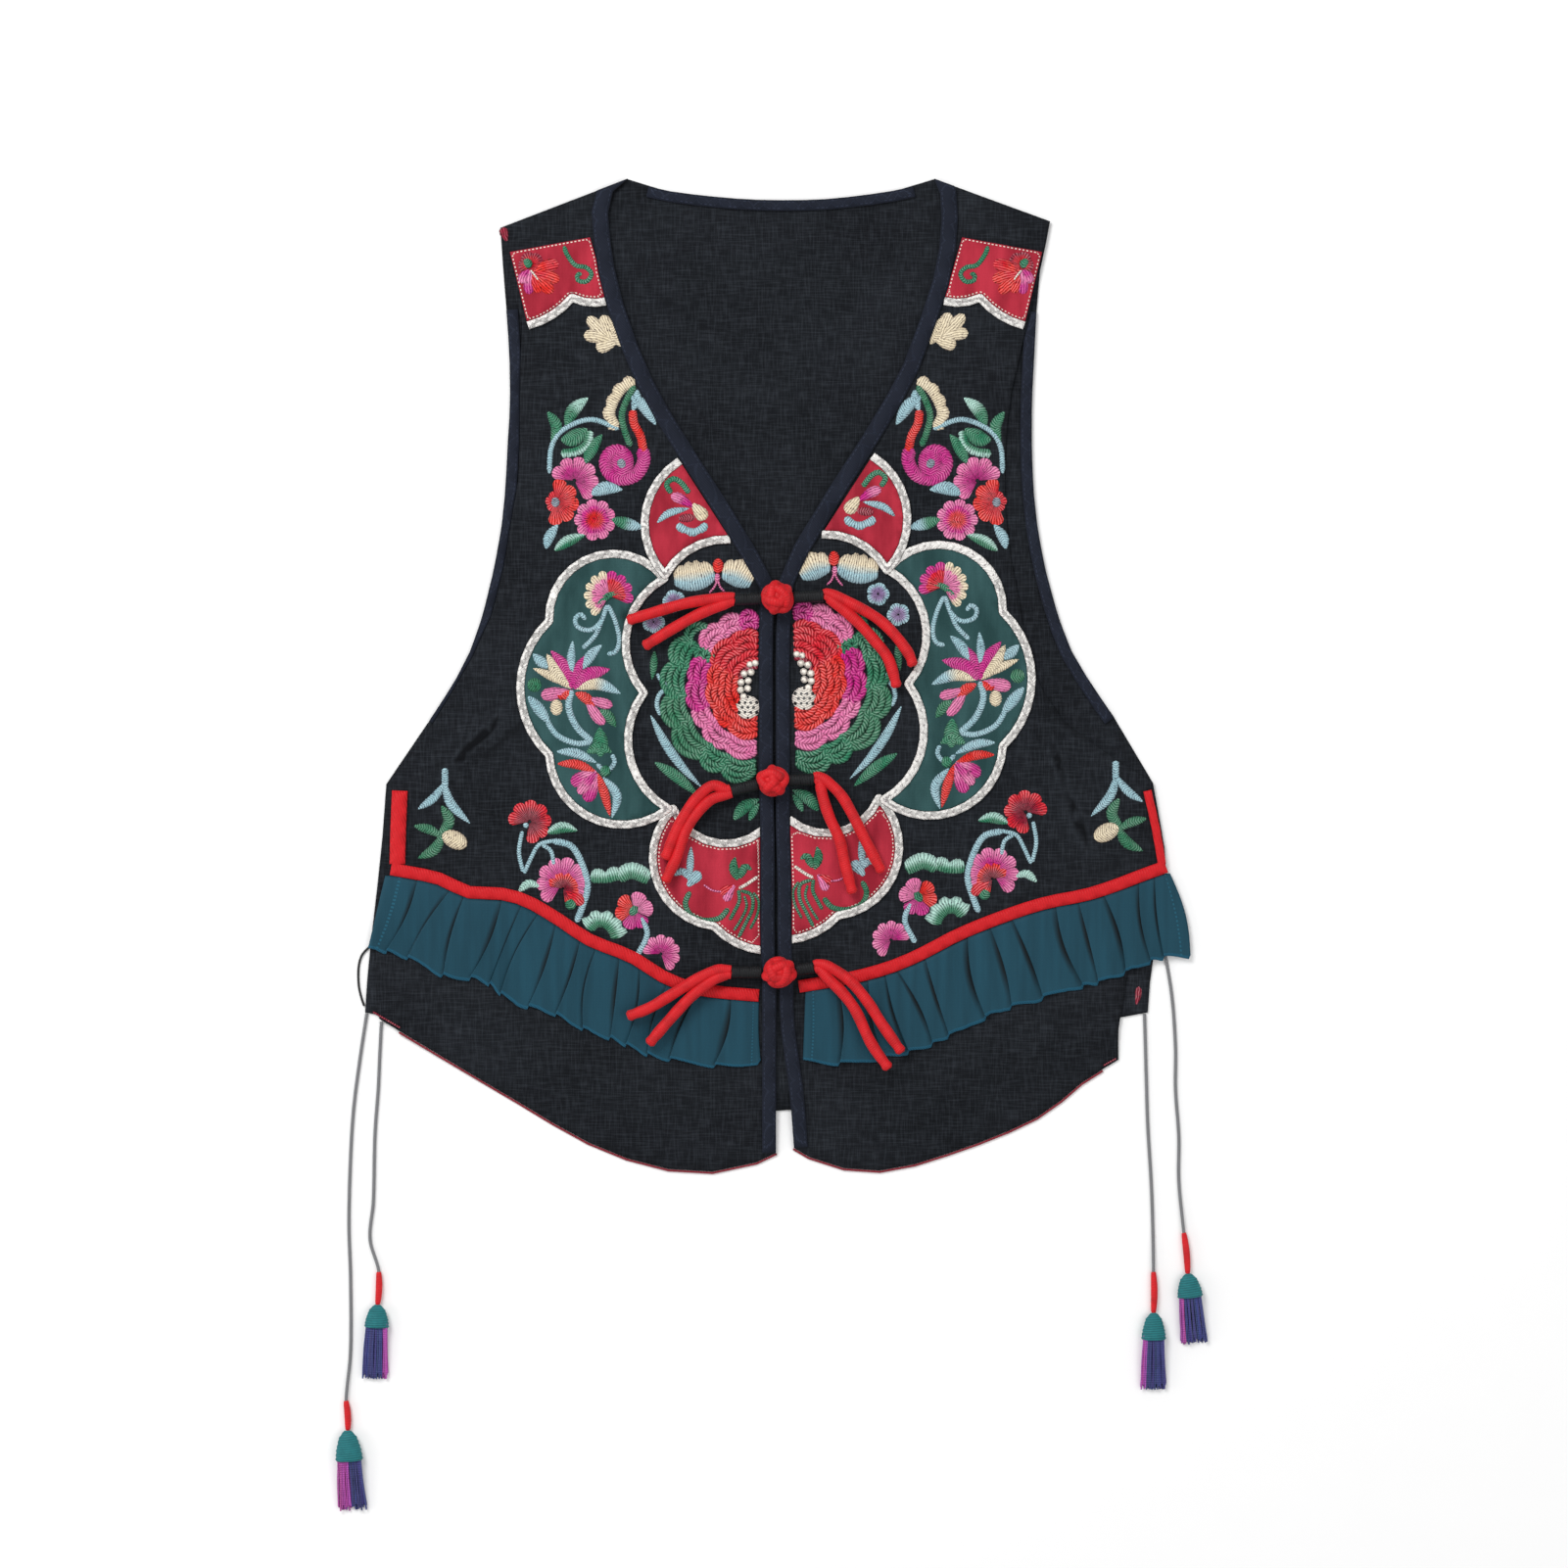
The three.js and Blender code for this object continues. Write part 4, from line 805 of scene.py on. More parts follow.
def cord_finish(name, ground, pitch=1.3, rough=0.5):
    """Cloth cord: fine slanting weave with small creases, painted darker in them as shade."""
    cord = Finish(name, sheen=0.06, specular=0.3)
    along, around, _ = cord.axes(cord.attribute("stitch").outputs["Vector"])
    weave = (along + around * (2.0 * MM)).wave(pitch * MM)
    shaded_crease = cord.noise(1.0, 3.0, cord.place((160, 160, 160)))
    dark = tuple(c * 0.5 for c in ground)
    # painted shade in the creases
    base = cord.mix((weave * 0.18 + steep(shaded_crease, 0.58, 0.3) * 0.5).kept(), ground, dark)
    return cord.paint(base, rough + shaded_crease * 0.1, cord.bump(weave * 0.4 + shaded_crease * 2, 0.4 * MM, 0.8))


def plain_cord_finish(name, ground):
    """Thin twisted cord, its plies slanting across it."""
    cord = Finish(name, sheen=0.2, specular=0.4)
    x, y, _ = cord.axes(cord.place())
    ply = (y + x * 0.8).wave(1.7 * MM)
    shade = cord.noise(90.0, 2.0)
    base = cord.mix((ply * 0.4 + shade * 0.3).kept(), ground, tuple(c * 0.4 for c in ground))
    return cord.paint(base, 0.55 + shade * 0.1, cord.bump(ply, 0.3 * MM, 0.9))


def whipping_finish():
    """Black thread with a faint lustre and painted highlights on its turns."""
    black = Finish("black_whipping", specular=0.25)
    along, around, _ = black.axes(black.attribute("stitch").outputs["Vector"])
    turns = (along + around * (1.5 * MM)).wave(0.75 * MM)
    shade = black.noise(200.0, 2.0)
    ground = tuple(cloth().whipping)
    # painted highlight on the turns of thread
    base = black.mix((turns * 0.5 + shade * 0.2).kept(), ground, tuple(c * 3 + 0.01 for c in ground))
    return black.paint(base, 0.45 + shade * 0.1, black.bump(turns, 0.2 * MM, 0.8))


def strand_finish(name):
    """Tassel thread in the colour that each strand carries."""
    strand = Finish(name, sheen=0.08, specular=0.3)
    tint = strand.attribute("thread").outputs["Color"]
    along, around, _ = strand.axes(strand.attribute("stitch").outputs["Vector"])
    ply = (along + around * (1.5 * MM)).wave(1.4 * MM)
    shade = strand.noise(300.0, 2.0)
    dark = strand.mix(1.0, tint, srgb("6d6a78"), "MULTIPLY")
    base = strand.mix((ply * 0.35 + shade * 0.4).kept(), tint, dark)
    return strand.paint(base, 0.55 + shade * 0.1, strand.bump(ply + shade, 0.2 * MM, 0.8))


def floor_finish():
    """A pale seamless sweep with the faintest grain."""
    floor = Finish("pale_floor", specular=0.1)
    grain = floor.noise(40.0, 2.0)
    base = floor.mix(grain * 0.3, srgb("fdfdfd"), srgb("f8f8f8"))
    return floor.paint(base, 0.9)


# ------------------------------------------------------------------ lines and meshes
def smooth_line(points, step):
    """Points about step apart on a smooth curve through the given ones."""
    corners = np.asarray(points, float)
    ends = np.vstack([2 * corners[0] - corners[1], corners, 2 * corners[-1] - corners[-2]])
    t = np.linspace(0, 1, 13)[:-1, None]
    fine = []
    for a, b, c, d in zip(ends, ends[1:], ends[2:], ends[3:]):
        cubic = -a + 3 * b - 3 * c + d
        fine.append(0.5 * (2 * b + (c - a) * t + (2 * a - 5 * b + 4 * c - d) * t**2 + cubic * t**3))
    return spaced(np.vstack([*fine, corners[-1:]]), step)


def travelled(line):
    """The length of the line up to each of its points."""
    return np.concatenate([[0], np.cumsum(np.linalg.norm(np.diff(line, axis=0), axis=1))])


def spaced(line, step):
    """The line again, with evenly spaced points about step apart."""
    along = travelled(line)
    at = np.linspace(0, along[-1], max(3, math.ceil(along[-1] / step) + 1))
    return np.stack([np.interp(at, along, line[:, k]) for k in range(line.shape[1])], axis=1)


def directions(line):
    """The unit vector ahead at each point of the line."""
    ahead = np.gradient(line, axis=0)
    return ahead / np.maximum(np.linalg.norm(ahead, axis=1, keepdims=True), 1e-12)


class Shape:
    """A mesh in the making, with the measures that its finish reads."""

    def __init__(self):
        self.bm = bmesh.new()
        self.stitch = self.bm.verts.layers.float_vector.new("stitch")
        self.thread = self.bm.verts.layers.float_color.new("thread")

    def grid(self, along, across, places, measures, tints):
        """A grid whose corners take places, measures and tints, each an array of
        (along + 1) × (across + 1) rows, one run across after another."""
        made = bmesh.ops.create_grid(self.bm, x_segments=along, y_segments=across, size=1.0)["verts"]
        spot = np.array([v.co[:2] for v in made]) / 2 + 0.5
        index = (np.rint(spot[:, 0] * along) * (across + 1) + np.rint(spot[:, 1] * across)).astype(int)
        places = np.asarray(places).reshape(-1, 3)[index]
        measures = np.asarray(measures).reshape(-1, 3)[index]
        tints = np.asarray(tints).reshape(-1, 4)[index]
        for vert, place, measure, tint in zip(made, places, measures, tints):
            vert.co = place
            vert[self.stitch] = measure
            vert[self.thread] = tint

    def tube(self, line, radius, sides, tint, flatness=1.0):
        """A closed tube round a line in metres, its seam on the underside."""
        ahead = directions(line)
        up = np.array([0.0, 0.0, 1.0] if abs(ahead[0][2]) < 0.9 else [1.0, 0.0, 0.0])
        normals = []
        for t in ahead:
            up = up - t * (up @ t)
            up = up / max(np.linalg.norm(up), 1e-9)
            normals.append(up)
        normals = np.array(normals)
        side = np.cross(ahead, normals)
        radius = np.broadcast_to(np.asarray(radius, float), len(line))
        turn = np.linspace(-math.pi / 2, 1.5 * math.pi, sides + 1)
        ring = (side[:, None] * np.cos(turn)[None, :, None]
                + normals[:, None] * (np.sin(turn) * flatness)[None, :, None])
        places = line[:, None] + ring * radius[:, None, None]
        places = np.concatenate([np.repeat(line[:1, None], sides + 1, 1), places,
                                 np.repeat(line[-1:, None], sides + 1, 1)])
        along = travelled(line)
        along = np.concatenate([along[:1], along, along[-1:]])
        measures = np.zeros((*places.shape[:2], 3))
        measures[..., 0] = along[:, None]
        measures[..., 1] = (turn / (2 * math.pi) + 0.25)[None]
        tints = np.broadcast_to(np.array([*tint, 1.0]), (*places.shape[:2], 4))
        self.grid(len(places) - 1, sides, places, measures, tints)

    def finish(self, name, material, slot, replaces="", sharp=60):
        """The mesh as a piece of the garment that rides on its body."""
        bmesh.ops.remove_doubles(self.bm, verts=self.bm.verts, dist=SAME_PLACE)
        return keep(self.bm, name, material, replaces, sharp)


def keep(bm, name, material, replaces="", sharp=60, ride=True):
    """The mesh as an object and the node of the frame that it replaces.
    Edges whose faces turn by more than the sharp angle, in degrees, stay crisp."""
    mesh = bpy.data.meshes.new(name)
    bm.to_mesh(mesh)
    bm.free()
    mesh.shade_smooth()
    mesh.set_sharp_from_angle(angle=math.radians(sharp))
    mesh.materials.append(material)
    piece = bpy.data.objects.new(name, mesh)
    bpy.context.scene.collection.objects.link(piece)
    if ride:
        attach(piece, "root")
        if replaces:
            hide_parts(replaces)
    return piece


def rim_lines(bm):
    """Every edge of a wall's top outline as (start, end, length before it), in metres."""
    found = {}
    for edge in bm.edges:
        tops = [f for f in edge.link_faces if f.normal.z > FACES_UP]
        if len(tops) == 1 and len(edge.link_faces) == 2:
            for vert in edge.verts:
                found.setdefault(vert.index, []).append(edge)
    lines, used = [], set()
    for start in sorted(found):
        vert, before = bm.verts[start], 0.0
        while True:
            nexts = [e for e in found[vert.index] if e.index not in used]
            if not nexts:
                break
            edge = nexts[0]
            used.add(edge.index)
            other = edge.other_vert(vert)
            lines.append((vert.co.copy(), other.co.copy(), before))
            before += edge.calc_length()
            vert = other
    return lines


def shell_of(node, finest, puff=0.0, reach=3.0, lift=None):
    """A finer copy of a flat wall of the frame. Its top swells by puff, fully at reach from
    the outline, and is moved by lift(x, y). "rim" keeps the measures along and in from the
    outline, and the lift."""
    bm = bmesh.new()
    bm.from_mesh(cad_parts[node].data)
    bmesh.ops.remove_doubles(bm, verts=bm.verts, dist=SAME_PLACE)
    bm.verts.index_update()
    bm.edges.index_update()
    bm.verts.ensure_lookup_table()
    bm.normal_update()
    lines = rim_lines(bm)
    for _ in range(6):
        long = [e for e in bm.edges if e.calc_length() > finest]
        if not long:
            break
        bmesh.ops.subdivide_edges(bm, edges=long, cuts=1, use_grid_fill=False)
    bmesh.ops.triangulate(bm, faces=[f for f in bm.faces if len(f.verts) > 4])
    bm.normal_update()
    corners, faces = [], []
    for start, end, _ in lines:
        first = len(corners)
        corners += [(start.x, start.y, -1), (end.x, end.y, -1), (end.x, end.y, 1), (start.x, start.y, 1)]
        faces.append((first, first + 1, first + 2, first + 3))
    outline = BVHTree.FromPolygons(corners, faces)
    rim = bm.verts.layers.float_vector.new("rim")
    tops = {v for f in bm.faces if f.normal.z > FACES_UP for v in f.verts}
    for vert in bm.verts:
        place, _, index, inward = outline.find_nearest(Vector((vert.co.x, vert.co.y, 0)))
        start, _, before = lines[index]
        rise = lift(vert.co.x, vert.co.y) if lift is not None else 0.0
        vert[rim] = (before + (Vector((place.x, place.y)) - start.xy).length, inward, rise)
        if vert not in tops:
            continue
        share = min(1.0, inward / (reach * MM))
        vert.co.z += puff * math.sqrt(max(0.0, 1 - (1 - share) ** 2))
        vert.co.z += rise * min(1.0, inward / (6 * MM))
    return bm


def shell_piece(node, material, finest, puff=0.0, reach=3.0, lift=None):
    return keep(shell_of(node, finest, puff, reach, lift), f"{node}_cloth", material, node)


def crease_height(node):
    """A function of a place in metres: the creases of one panel and its slight waviness."""
    creases = CREASES.get(node, [])
    wrinkle = sizes().wrinkle

    def height(x, y):
        px, py = x / MM - SHIFT[0], y / MM - SHIFT[1]
        total = 0.0
        for c in creases:
            ax, ay = c.x2 - c.x1, c.y2 - c.y1
            along = ((px - c.x1) * ax + (py - c.y1) * ay) / (ax * ax + ay * ay)
            if not -0.15 < along < 1.15:
                continue
            off = abs((px - c.x1) * ay - (py - c.y1) * ax) / math.hypot(ax, ay)
            if off < c.width:
                ends = math.sin(math.pi * (along + 0.15) / 1.3)
                total += c.height * MM * ends * math.cos(off / c.width * math.pi / 2) ** 2
        broad = noise.noise(Vector((x * 22, y * 22, 1.7)))
        fine = noise.noise(Vector((x * 70, y * 70, 5.1)))
        return total + wrinkle * (broad + 0.4 * fine)

    return height


class Ground:
    """The height of the cloth below a place."""

    ABOVE_ALL = 0.05
    BESIDE_CLOTH = 0.0027  # taken where there is no cloth below and none was found before

    def __init__(self, names):
        corners, faces = [], []
        for name in names:
            mesh = bpy.data.objects[name].data
            first = len(corners)
            corners += [v.co[:] for v in mesh.vertices]
            faces += [[first + i for i in p.vertices] for p in mesh.polygons]
        self.tree = BVHTree.FromPolygons(corners, faces)

    def heights(self, places):
        down = Vector((0, 0, -1))
        height = self.BESIDE_CLOTH
        found = []
        for x, y in places:
            hit = self.tree.ray_cast(Vector((x, y, self.ABOVE_ALL)), down)[0]
            height = hit.z if hit is not None else height
            found.append(height)
        return np.array(found)


# ------------------------------------------------------------------ stitches
def rise_to(share, start, end):
    return np.clip((share - start) / (end - start), 0, 1)


PROFILES = {
    "leaf": lambda u: np.sin(np.pi * u**0.9) ** 0.75,
    "petal": lambda u: (0.28 + 0.72 * np.sin(np.pi / 2 * rise_to(u, 0, 0.68)))
    * np.sqrt(1 - rise_to(u, 0.68, 1) ** 2),
    "stem": lambda u: np.sqrt(rise_to(u, 0, 0.05)) * np.sqrt(1 - rise_to(u, 0.95, 1) ** 2),
    "wing": lambda u: np.sin(np.pi * (0.06 + 0.88 * u)) ** 0.45,
    "braid": lambda u: np.sqrt(rise_to(u, 0, 0.05)) * np.sqrt(1 - rise_to(u, 0.95, 1) ** 2),
    "oval": lambda u: np.sqrt(np.clip(1 - (2 * u - 1) ** 2, 0, 1)),
    "scallops": lambda u: np.sqrt(rise_to(u, 0, 0.08)) * np.sqrt(1 - rise_to(u, 0.92, 1) ** 2),
}
GROUND_BITE = 0.05  # how far the stitches' edges go into the cloth
RAGGED = 0.2  # how far single stitches stand out at a shape's edge
BRAID_PITCH = 1.5  # how much coarser than satin stitch the peony's rows are
LOBED = ("scallops", "wing")


def thread_tints(thread, along, across):
    """The colour of each corner of a shape, from the thread's name."""
    blend = np.zeros(np.broadcast(along, across).shape)
    names = [thread]
    if ">" in thread:
        names = thread.split(">")
        blend = np.clip((along + 0.0 * across - 0.4) / 0.25, 0, 1)
    elif "|" in thread:
        names = thread.split("|")
        blend = np.clip((across + 0.0 * along + 0.15) / 0.3, 0, 1)
    first = np.array([*getattr(threads(), names[0]), 1.0])
    last = np.array([*getattr(threads(), names[-1]), 1.0])
    return first + (last - first) * blend[..., None]


def lay_stroke(shape, ground, stroke, line, flip, height, slant=0.5, step=1.1, cross=6):
    """One stitched shape along a line on the pattern sheet."""
    line = smooth_line(line, step)
    count = len(line)
    u = np.linspace(0, 1, count)
    half = PROFILES[stroke.shape](u) * stroke.width / 2
    ragged = min(0.07, RAGGED / max(half.max(), RAGGED))
    half = half * (1 + ragged * np.where(np.arange(count) % 2, 1, -1))
    v = np.linspace(-1, 1, cross + 1)
    ahead = directions(line)
    left = np.stack([-ahead[:, 1], ahead[:, 0]], axis=1)
    reach = np.broadcast_to(half[:, None] * v[None], (count, cross + 1)).copy()
    if stroke.shape in LOBED:
        # a wing's lobes are cut half as deep as a leaf's
        deep = 0.3 if stroke.shape == "wing" else 0.6
        lobes = 1.2 - deep + deep * np.abs(np.sin(np.pi * stroke.lobes * u)) ** 0.6
        outer = v * flip > 0
        reach[:, outer] *= lobes[:, None]
    spots = line[:, None] + left[:, None] * reach[..., None]
    places = np.zeros((count, cross + 1, 3))
    places[..., :2] = spots
    places = in_frame(places.reshape(-1, 3)).reshape(count, cross + 1, 3)
    dome = np.sqrt(np.clip(1 - np.abs(v) ** 2.4, 0, 1))[None]
    if stroke.shape == "leaf":
        dome = dome - 0.22 * np.exp(-((v / 0.2) ** 2))[None]
    ends = np.clip(half / max(half.max(), 1e-9) * 1.6, 0, 1)[:, None]
    under = ground.heights(places.reshape(-1, 3)[:, :2]).reshape(count, cross + 1)
    base = under + stroke.raised * height
    places[..., 2] = base - GROUND_BITE * MM + dome * ends * (height + GROUND_BITE * MM)
    measures = np.zeros((count, cross + 1, 3))
    run = travelled(line)[:, None]
    if stroke.shape == "petal":
        # a petal's threads run along it, and all other shapes' across
        measures[..., 0] = reach * MM
    elif stroke.shape == "braid":
        measures[..., 0] = (run + slant * reach) * MM / BRAID_PITCH
    else:
        measures[..., 0] = (run + slant * np.abs(reach)) * MM
    measures[..., 1] = v[None]
    if stroke.shape in LOBED:
        measures[..., 0] = run * MM
        tints = thread_tints(stroke.thread, (v * flip / 2 + 0.5)[None] + 0 * u[:, None], v[None] * flip)
    else:
        tints = thread_tints(stroke.thread, u[:, None] + 0 * v[None], v[None] * flip)
    shape.grid(count - 1, cross, places, measures, tints)


def lay_bloom(shape, ground, stroke, centre, flip, height):
    """Petals round a centre, each a wedge of radial threads with a round end."""
    across, outward = 9, 7  # corners of a petal's grid
    each = stroke.sweep / stroke.lobes
    for k in range(stroke.lobes):
        start = stroke.start + k * each - 0.04 * each
        turn = np.radians(np.linspace(start, start + 1.08 * each, across))
        s = np.linspace(0, 1, across)
        far = stroke.width * (0.8 + 0.2 * np.sqrt(np.clip(np.sin(np.pi * s), 0, 1)))
        ring = np.linspace(0, 1, outward)
        distance = stroke.width * 0.08 + ring[None] * (far[:, None] - stroke.width * 0.08)
        spots = np.stack([flip * np.cos(turn)[:, None] * distance, np.sin(turn)[:, None] * distance], -1)
        if flip < 0:
            spots, turn = spots[::-1], turn[::-1]
        places = np.zeros((across, outward, 3))
        places[..., :2] = spots + np.asarray(centre)
        places = in_frame(places.reshape(-1, 3)).reshape(across, outward, 3)
        dome = np.sqrt(np.clip(np.sin(np.pi * (0.12 + 0.88 * ring)), 0, 1))[None]
        dome = dome * (0.55 + 0.45 * np.sin(np.pi * s))[:, None]
        under = ground.heights(places.reshape(-1, 3)[:, :2]).reshape(across, outward)
        base = under + stroke.raised * height
        places[..., 2] = base - GROUND_BITE * MM + dome * height * (1 + 0.06 * (k % 2))
        measures = np.zeros((across, outward, 3))
        measures[..., 0] = turn[:, None] * stroke.width * 0.75 * MM
        measures[..., 1] = np.abs(s * 2 - 1)[:, None] * 0.9
        teeth = 0.09 * np.where(np.arange(across) % 2, 1, -1)[:, None]
        tints = thread_tints(stroke.thread, 1.15 - ring[None] + teeth, 0 * ring[None])
        # rings run outward, so the wedge is turned to face up
        shape.grid(across - 1, outward - 1, places[::-1], measures[::-1], tints[::-1])


def lay_cluster(shape, ground, strokes, side, shift, height):
    """All strokes of one cluster, mirrored and then moved by shift for the right front."""
    flip = 1 if side == "left" else -1
    for order, stroke in enumerate(strokes):
        points = np.array(stroke.points, float)
        if side == "right":
            points[:, 0] = 2 * MIRROR_LINE - points[:, 0] + shift[0]
            points[:, 1] += shift[1]
        lift = height * (1 + 0.03 * (order % 3))
        if stroke.shape == "bloom":
            lay_bloom(shape, ground, stroke, points[0], flip, lift)
        else:
            lay_stroke(shape, ground, stroke, points, flip, lift)


def turned_over(points, flip):
    """Points of the left front's pattern, or their mirror image for the right front."""
    if flip > 0:
        return points
    return np.stack([2 * MIRROR_LINE - points[:, 0], points[:, 1]], -1)


def peony_radius(petal, u, share):
    """Distance from the centre at u round a petal, at a share of the way outward."""
    lobes = 0.9 + 0.11 * np.abs(np.sin(np.pi * petal.lobes * u**0.85)) ** 0.7
    ends = 0.94 + 0.06 * np.sin(np.pi * u)
    wavy = (lobes * ends) ** (0.35 + 0.65 * share)
    return (petal.inner + (petal.outer - petal.inner) * share) * wavy


def lay_peony(shape, ground, side, height):
    """The half peony's petals, each of rows round its centre."""
    flip = 1 if side == "left" else -1
    centre = np.array(PEONY_CENTRE)
    if side == "right":
        centre = np.array([2 * MIRROR_LINE - centre[0], centre[1] + PEONY_LIFT])
    for order, part in enumerate(PEONY_PETALS):
        row_width = (part.outer - part.inner) / part.rows * 0.98
        for row in range(part.rows):
            share = (row + 0.5) / part.rows
            angles = np.radians(np.linspace(part.start, part.end, ROW_POINTS))
            radius = peony_radius(part, np.linspace(0, 1, ROW_POINTS), share)
            line = centre + np.stack([-flip * np.sin(angles), np.cos(angles)], 1) * radius[:, None]
            stroke = Stroke("braid", part.thread, row_width, ())
            lift = height * (1.0 + 0.12 * math.sin(order * 2.1)) * (1.1 - 0.15 * share)
            # one row in three is laid the other way round
            lean = -0.8 if row % 3 == 1 else 0.8
            lay_stroke(shape, ground, stroke, line, flip, lift, slant=lean)


def lay_seeds(shape, ground, side, height):
    """A string of cream seeds and a cream patch with dark dots beside the opening."""
    flip = 1 if side == "left" else -1
    shift = np.array([0.0, 0.0 if side == "left" else PEONY_LIFT])
    middle = np.array(SEED_NET["centre"])
    pitch = SEED_NET["pitch"]
    reach = int(SEED_NET["radius"] / pitch) + 1
    patch = over(oval("white", 2 * SEED_NET["radius"]))
    ends = np.array([[0.0, SEED_NET["radius"]], [0.0, -SEED_NET["radius"]]]) + middle
    lay_stroke(shape, ground, patch, turned_over(ends, flip) + shift, flip, height * 0.55)
    cream = tuple(threads().white)
    seeds = [(np.array(spot), SEED_RADIUS, cream, 1.0) for spot in SEED_STRING]
    for i in range(-reach, reach + 1):
        for j in range(-reach, reach + 1):
            away = np.array([i * pitch + (j % 2) * pitch / 2, j * pitch * 0.86])
            out = np.hypot(*away)
            if out <= SEED_NET["radius"] - 0.8:
                # the dots stand a little above the patch, lower towards its rim
                top = 0.56 + 0.55 * math.sqrt(1 - (out / SEED_NET["radius"]) ** 2.4)
                seeds.append((middle + away, SEED_NET["dot"], tuple(threads().dark), top))
    share = np.array([0, 0.5, 0.62, 0.75, 0.87, 0.96, 1.0])
    for spot, radius, tint, top in seeds:
        spot = turned_over(spot[None], flip)[0] + shift
        line = np.zeros((len(share), 3))
        line[:] = in_frame([[*spot, 0]])
        line[:, 2] = ground.heights(line[:1, :2])[0] + share * height * top
        bend = np.sqrt(np.clip(1 - (np.clip(share - 0.5, 0, 1) / 0.5) ** 2, 0.02, 1))
        shape.tube(line, radius * MM * bend, 10, tint)


class WAISTCOAT_OT_stage(bpy.types.Operator):
    """Lay the pale floor, hang the lights and set the camera straight above the garment"""

    bl_idname = "waistcoat.stage"
    bl_label = "Stage"

    def execute(self, context):
        scene = context.scene
        scene.view_settings.view_transform = "Standard"
        centre = in_frame(VIEW_CENTRE)[0]
        lens = bpy.data.cameras.new("overhead_camera")
        lens.lens = LENS
        lens.sensor_width = SENSOR
        camera = bpy.data.objects.new("overhead_camera", lens)
        distance = VIEW_WIDTH * LENS / SENSOR + GARMENT_MIDDLE
        camera.location = (centre[0], centre[1], distance * MM)
        scene.collection.objects.link(camera)
        scene.camera = camera

        bm = bmesh.new()
        bmesh.ops.create_grid(bm, x_segments=24, y_segments=24, size=4.0)
        floor = keep(bm, "floor_sweep", floor_finish(), ride=False)

        for name, place, size, watts in (
            ("key_light", (-1.1, 1.3, 2.0), 1.3, 40.0),
            ("fill_light", (1.4, -0.5, 2.2), 2.0, 16.0),
            ("low_light", (-1.6, -0.6, 0.7), 0.9, 5.0),
        ):
            lamp = bpy.data.lights.new(name, "AREA")
            lamp.shape = "DISK"
            lamp.size = size
            lamp.energy = watts
            light = bpy.data.objects.new(name, lamp)
            light.location = place
            aim = Vector(LIGHTS_AIM) - Vector(place)
            light.rotation_euler = aim.to_track_quat("-Z", "Y").to_euler()
            scene.collection.objects.link(light)
        world = bpy.data.worlds.new("soft_studio")
        world.use_nodes = True
        world.node_tree.nodes["Background"].inputs["Color"].default_value = (1.0, 1.0, 1.0, 1.0)
        world.node_tree.nodes["Background"].inputs["Strength"].default_value = 0.5
        scene.world = world
        return {"FINISHED"}


def floor_line(points, radius, last=None):
    """A cord's route on the floor in metres, its end raised to the last radius."""
    route = [(x, y, radius + REST_GAP) for x, y in points]
    if last is not None:
        route[-1] = (*route[-1][:2], last + REST_GAP)
    return in_frame(route)


def cord_curve(name, route, radius, material, node):
    """A free cord as a curve through its route."""
    data = bpy.data.curves.new(name, "CURVE")
    data.dimensions = "3D"
    data.bevel_depth = radius * MM
    data.bevel_resolution = 4
    data.resolution_u = 12
    data.use_fill_caps = True
    spline = data.splines.new("BEZIER")
    spline.bezier_points.add(len(route) - 1)
    for k, point in enumerate(spline.bezier_points):
        before, after = route[max(k - 1, 0)], route[min(k + 1, len(route) - 1)]
        level = (after - before) * (1, 1, 0)
        level = level / np.hypot(*level[:2])
        point.co = route[k]
        # the handles are level, so that the cord never dips into the floor
        point.handle_left_type = "FREE"
        point.handle_right_type = "FREE"
        point.handle_left = route[k] - level * np.linalg.norm(route[k] - before) / 3
        point.handle_right = route[k] + level * np.linalg.norm(after - route[k]) / 3
    data.materials.append(material)
    piece = bpy.data.objects.new(name, data)
    bpy.context.scene.collection.objects.link(piece)
    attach(piece, "root")
    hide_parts(node)
    return piece


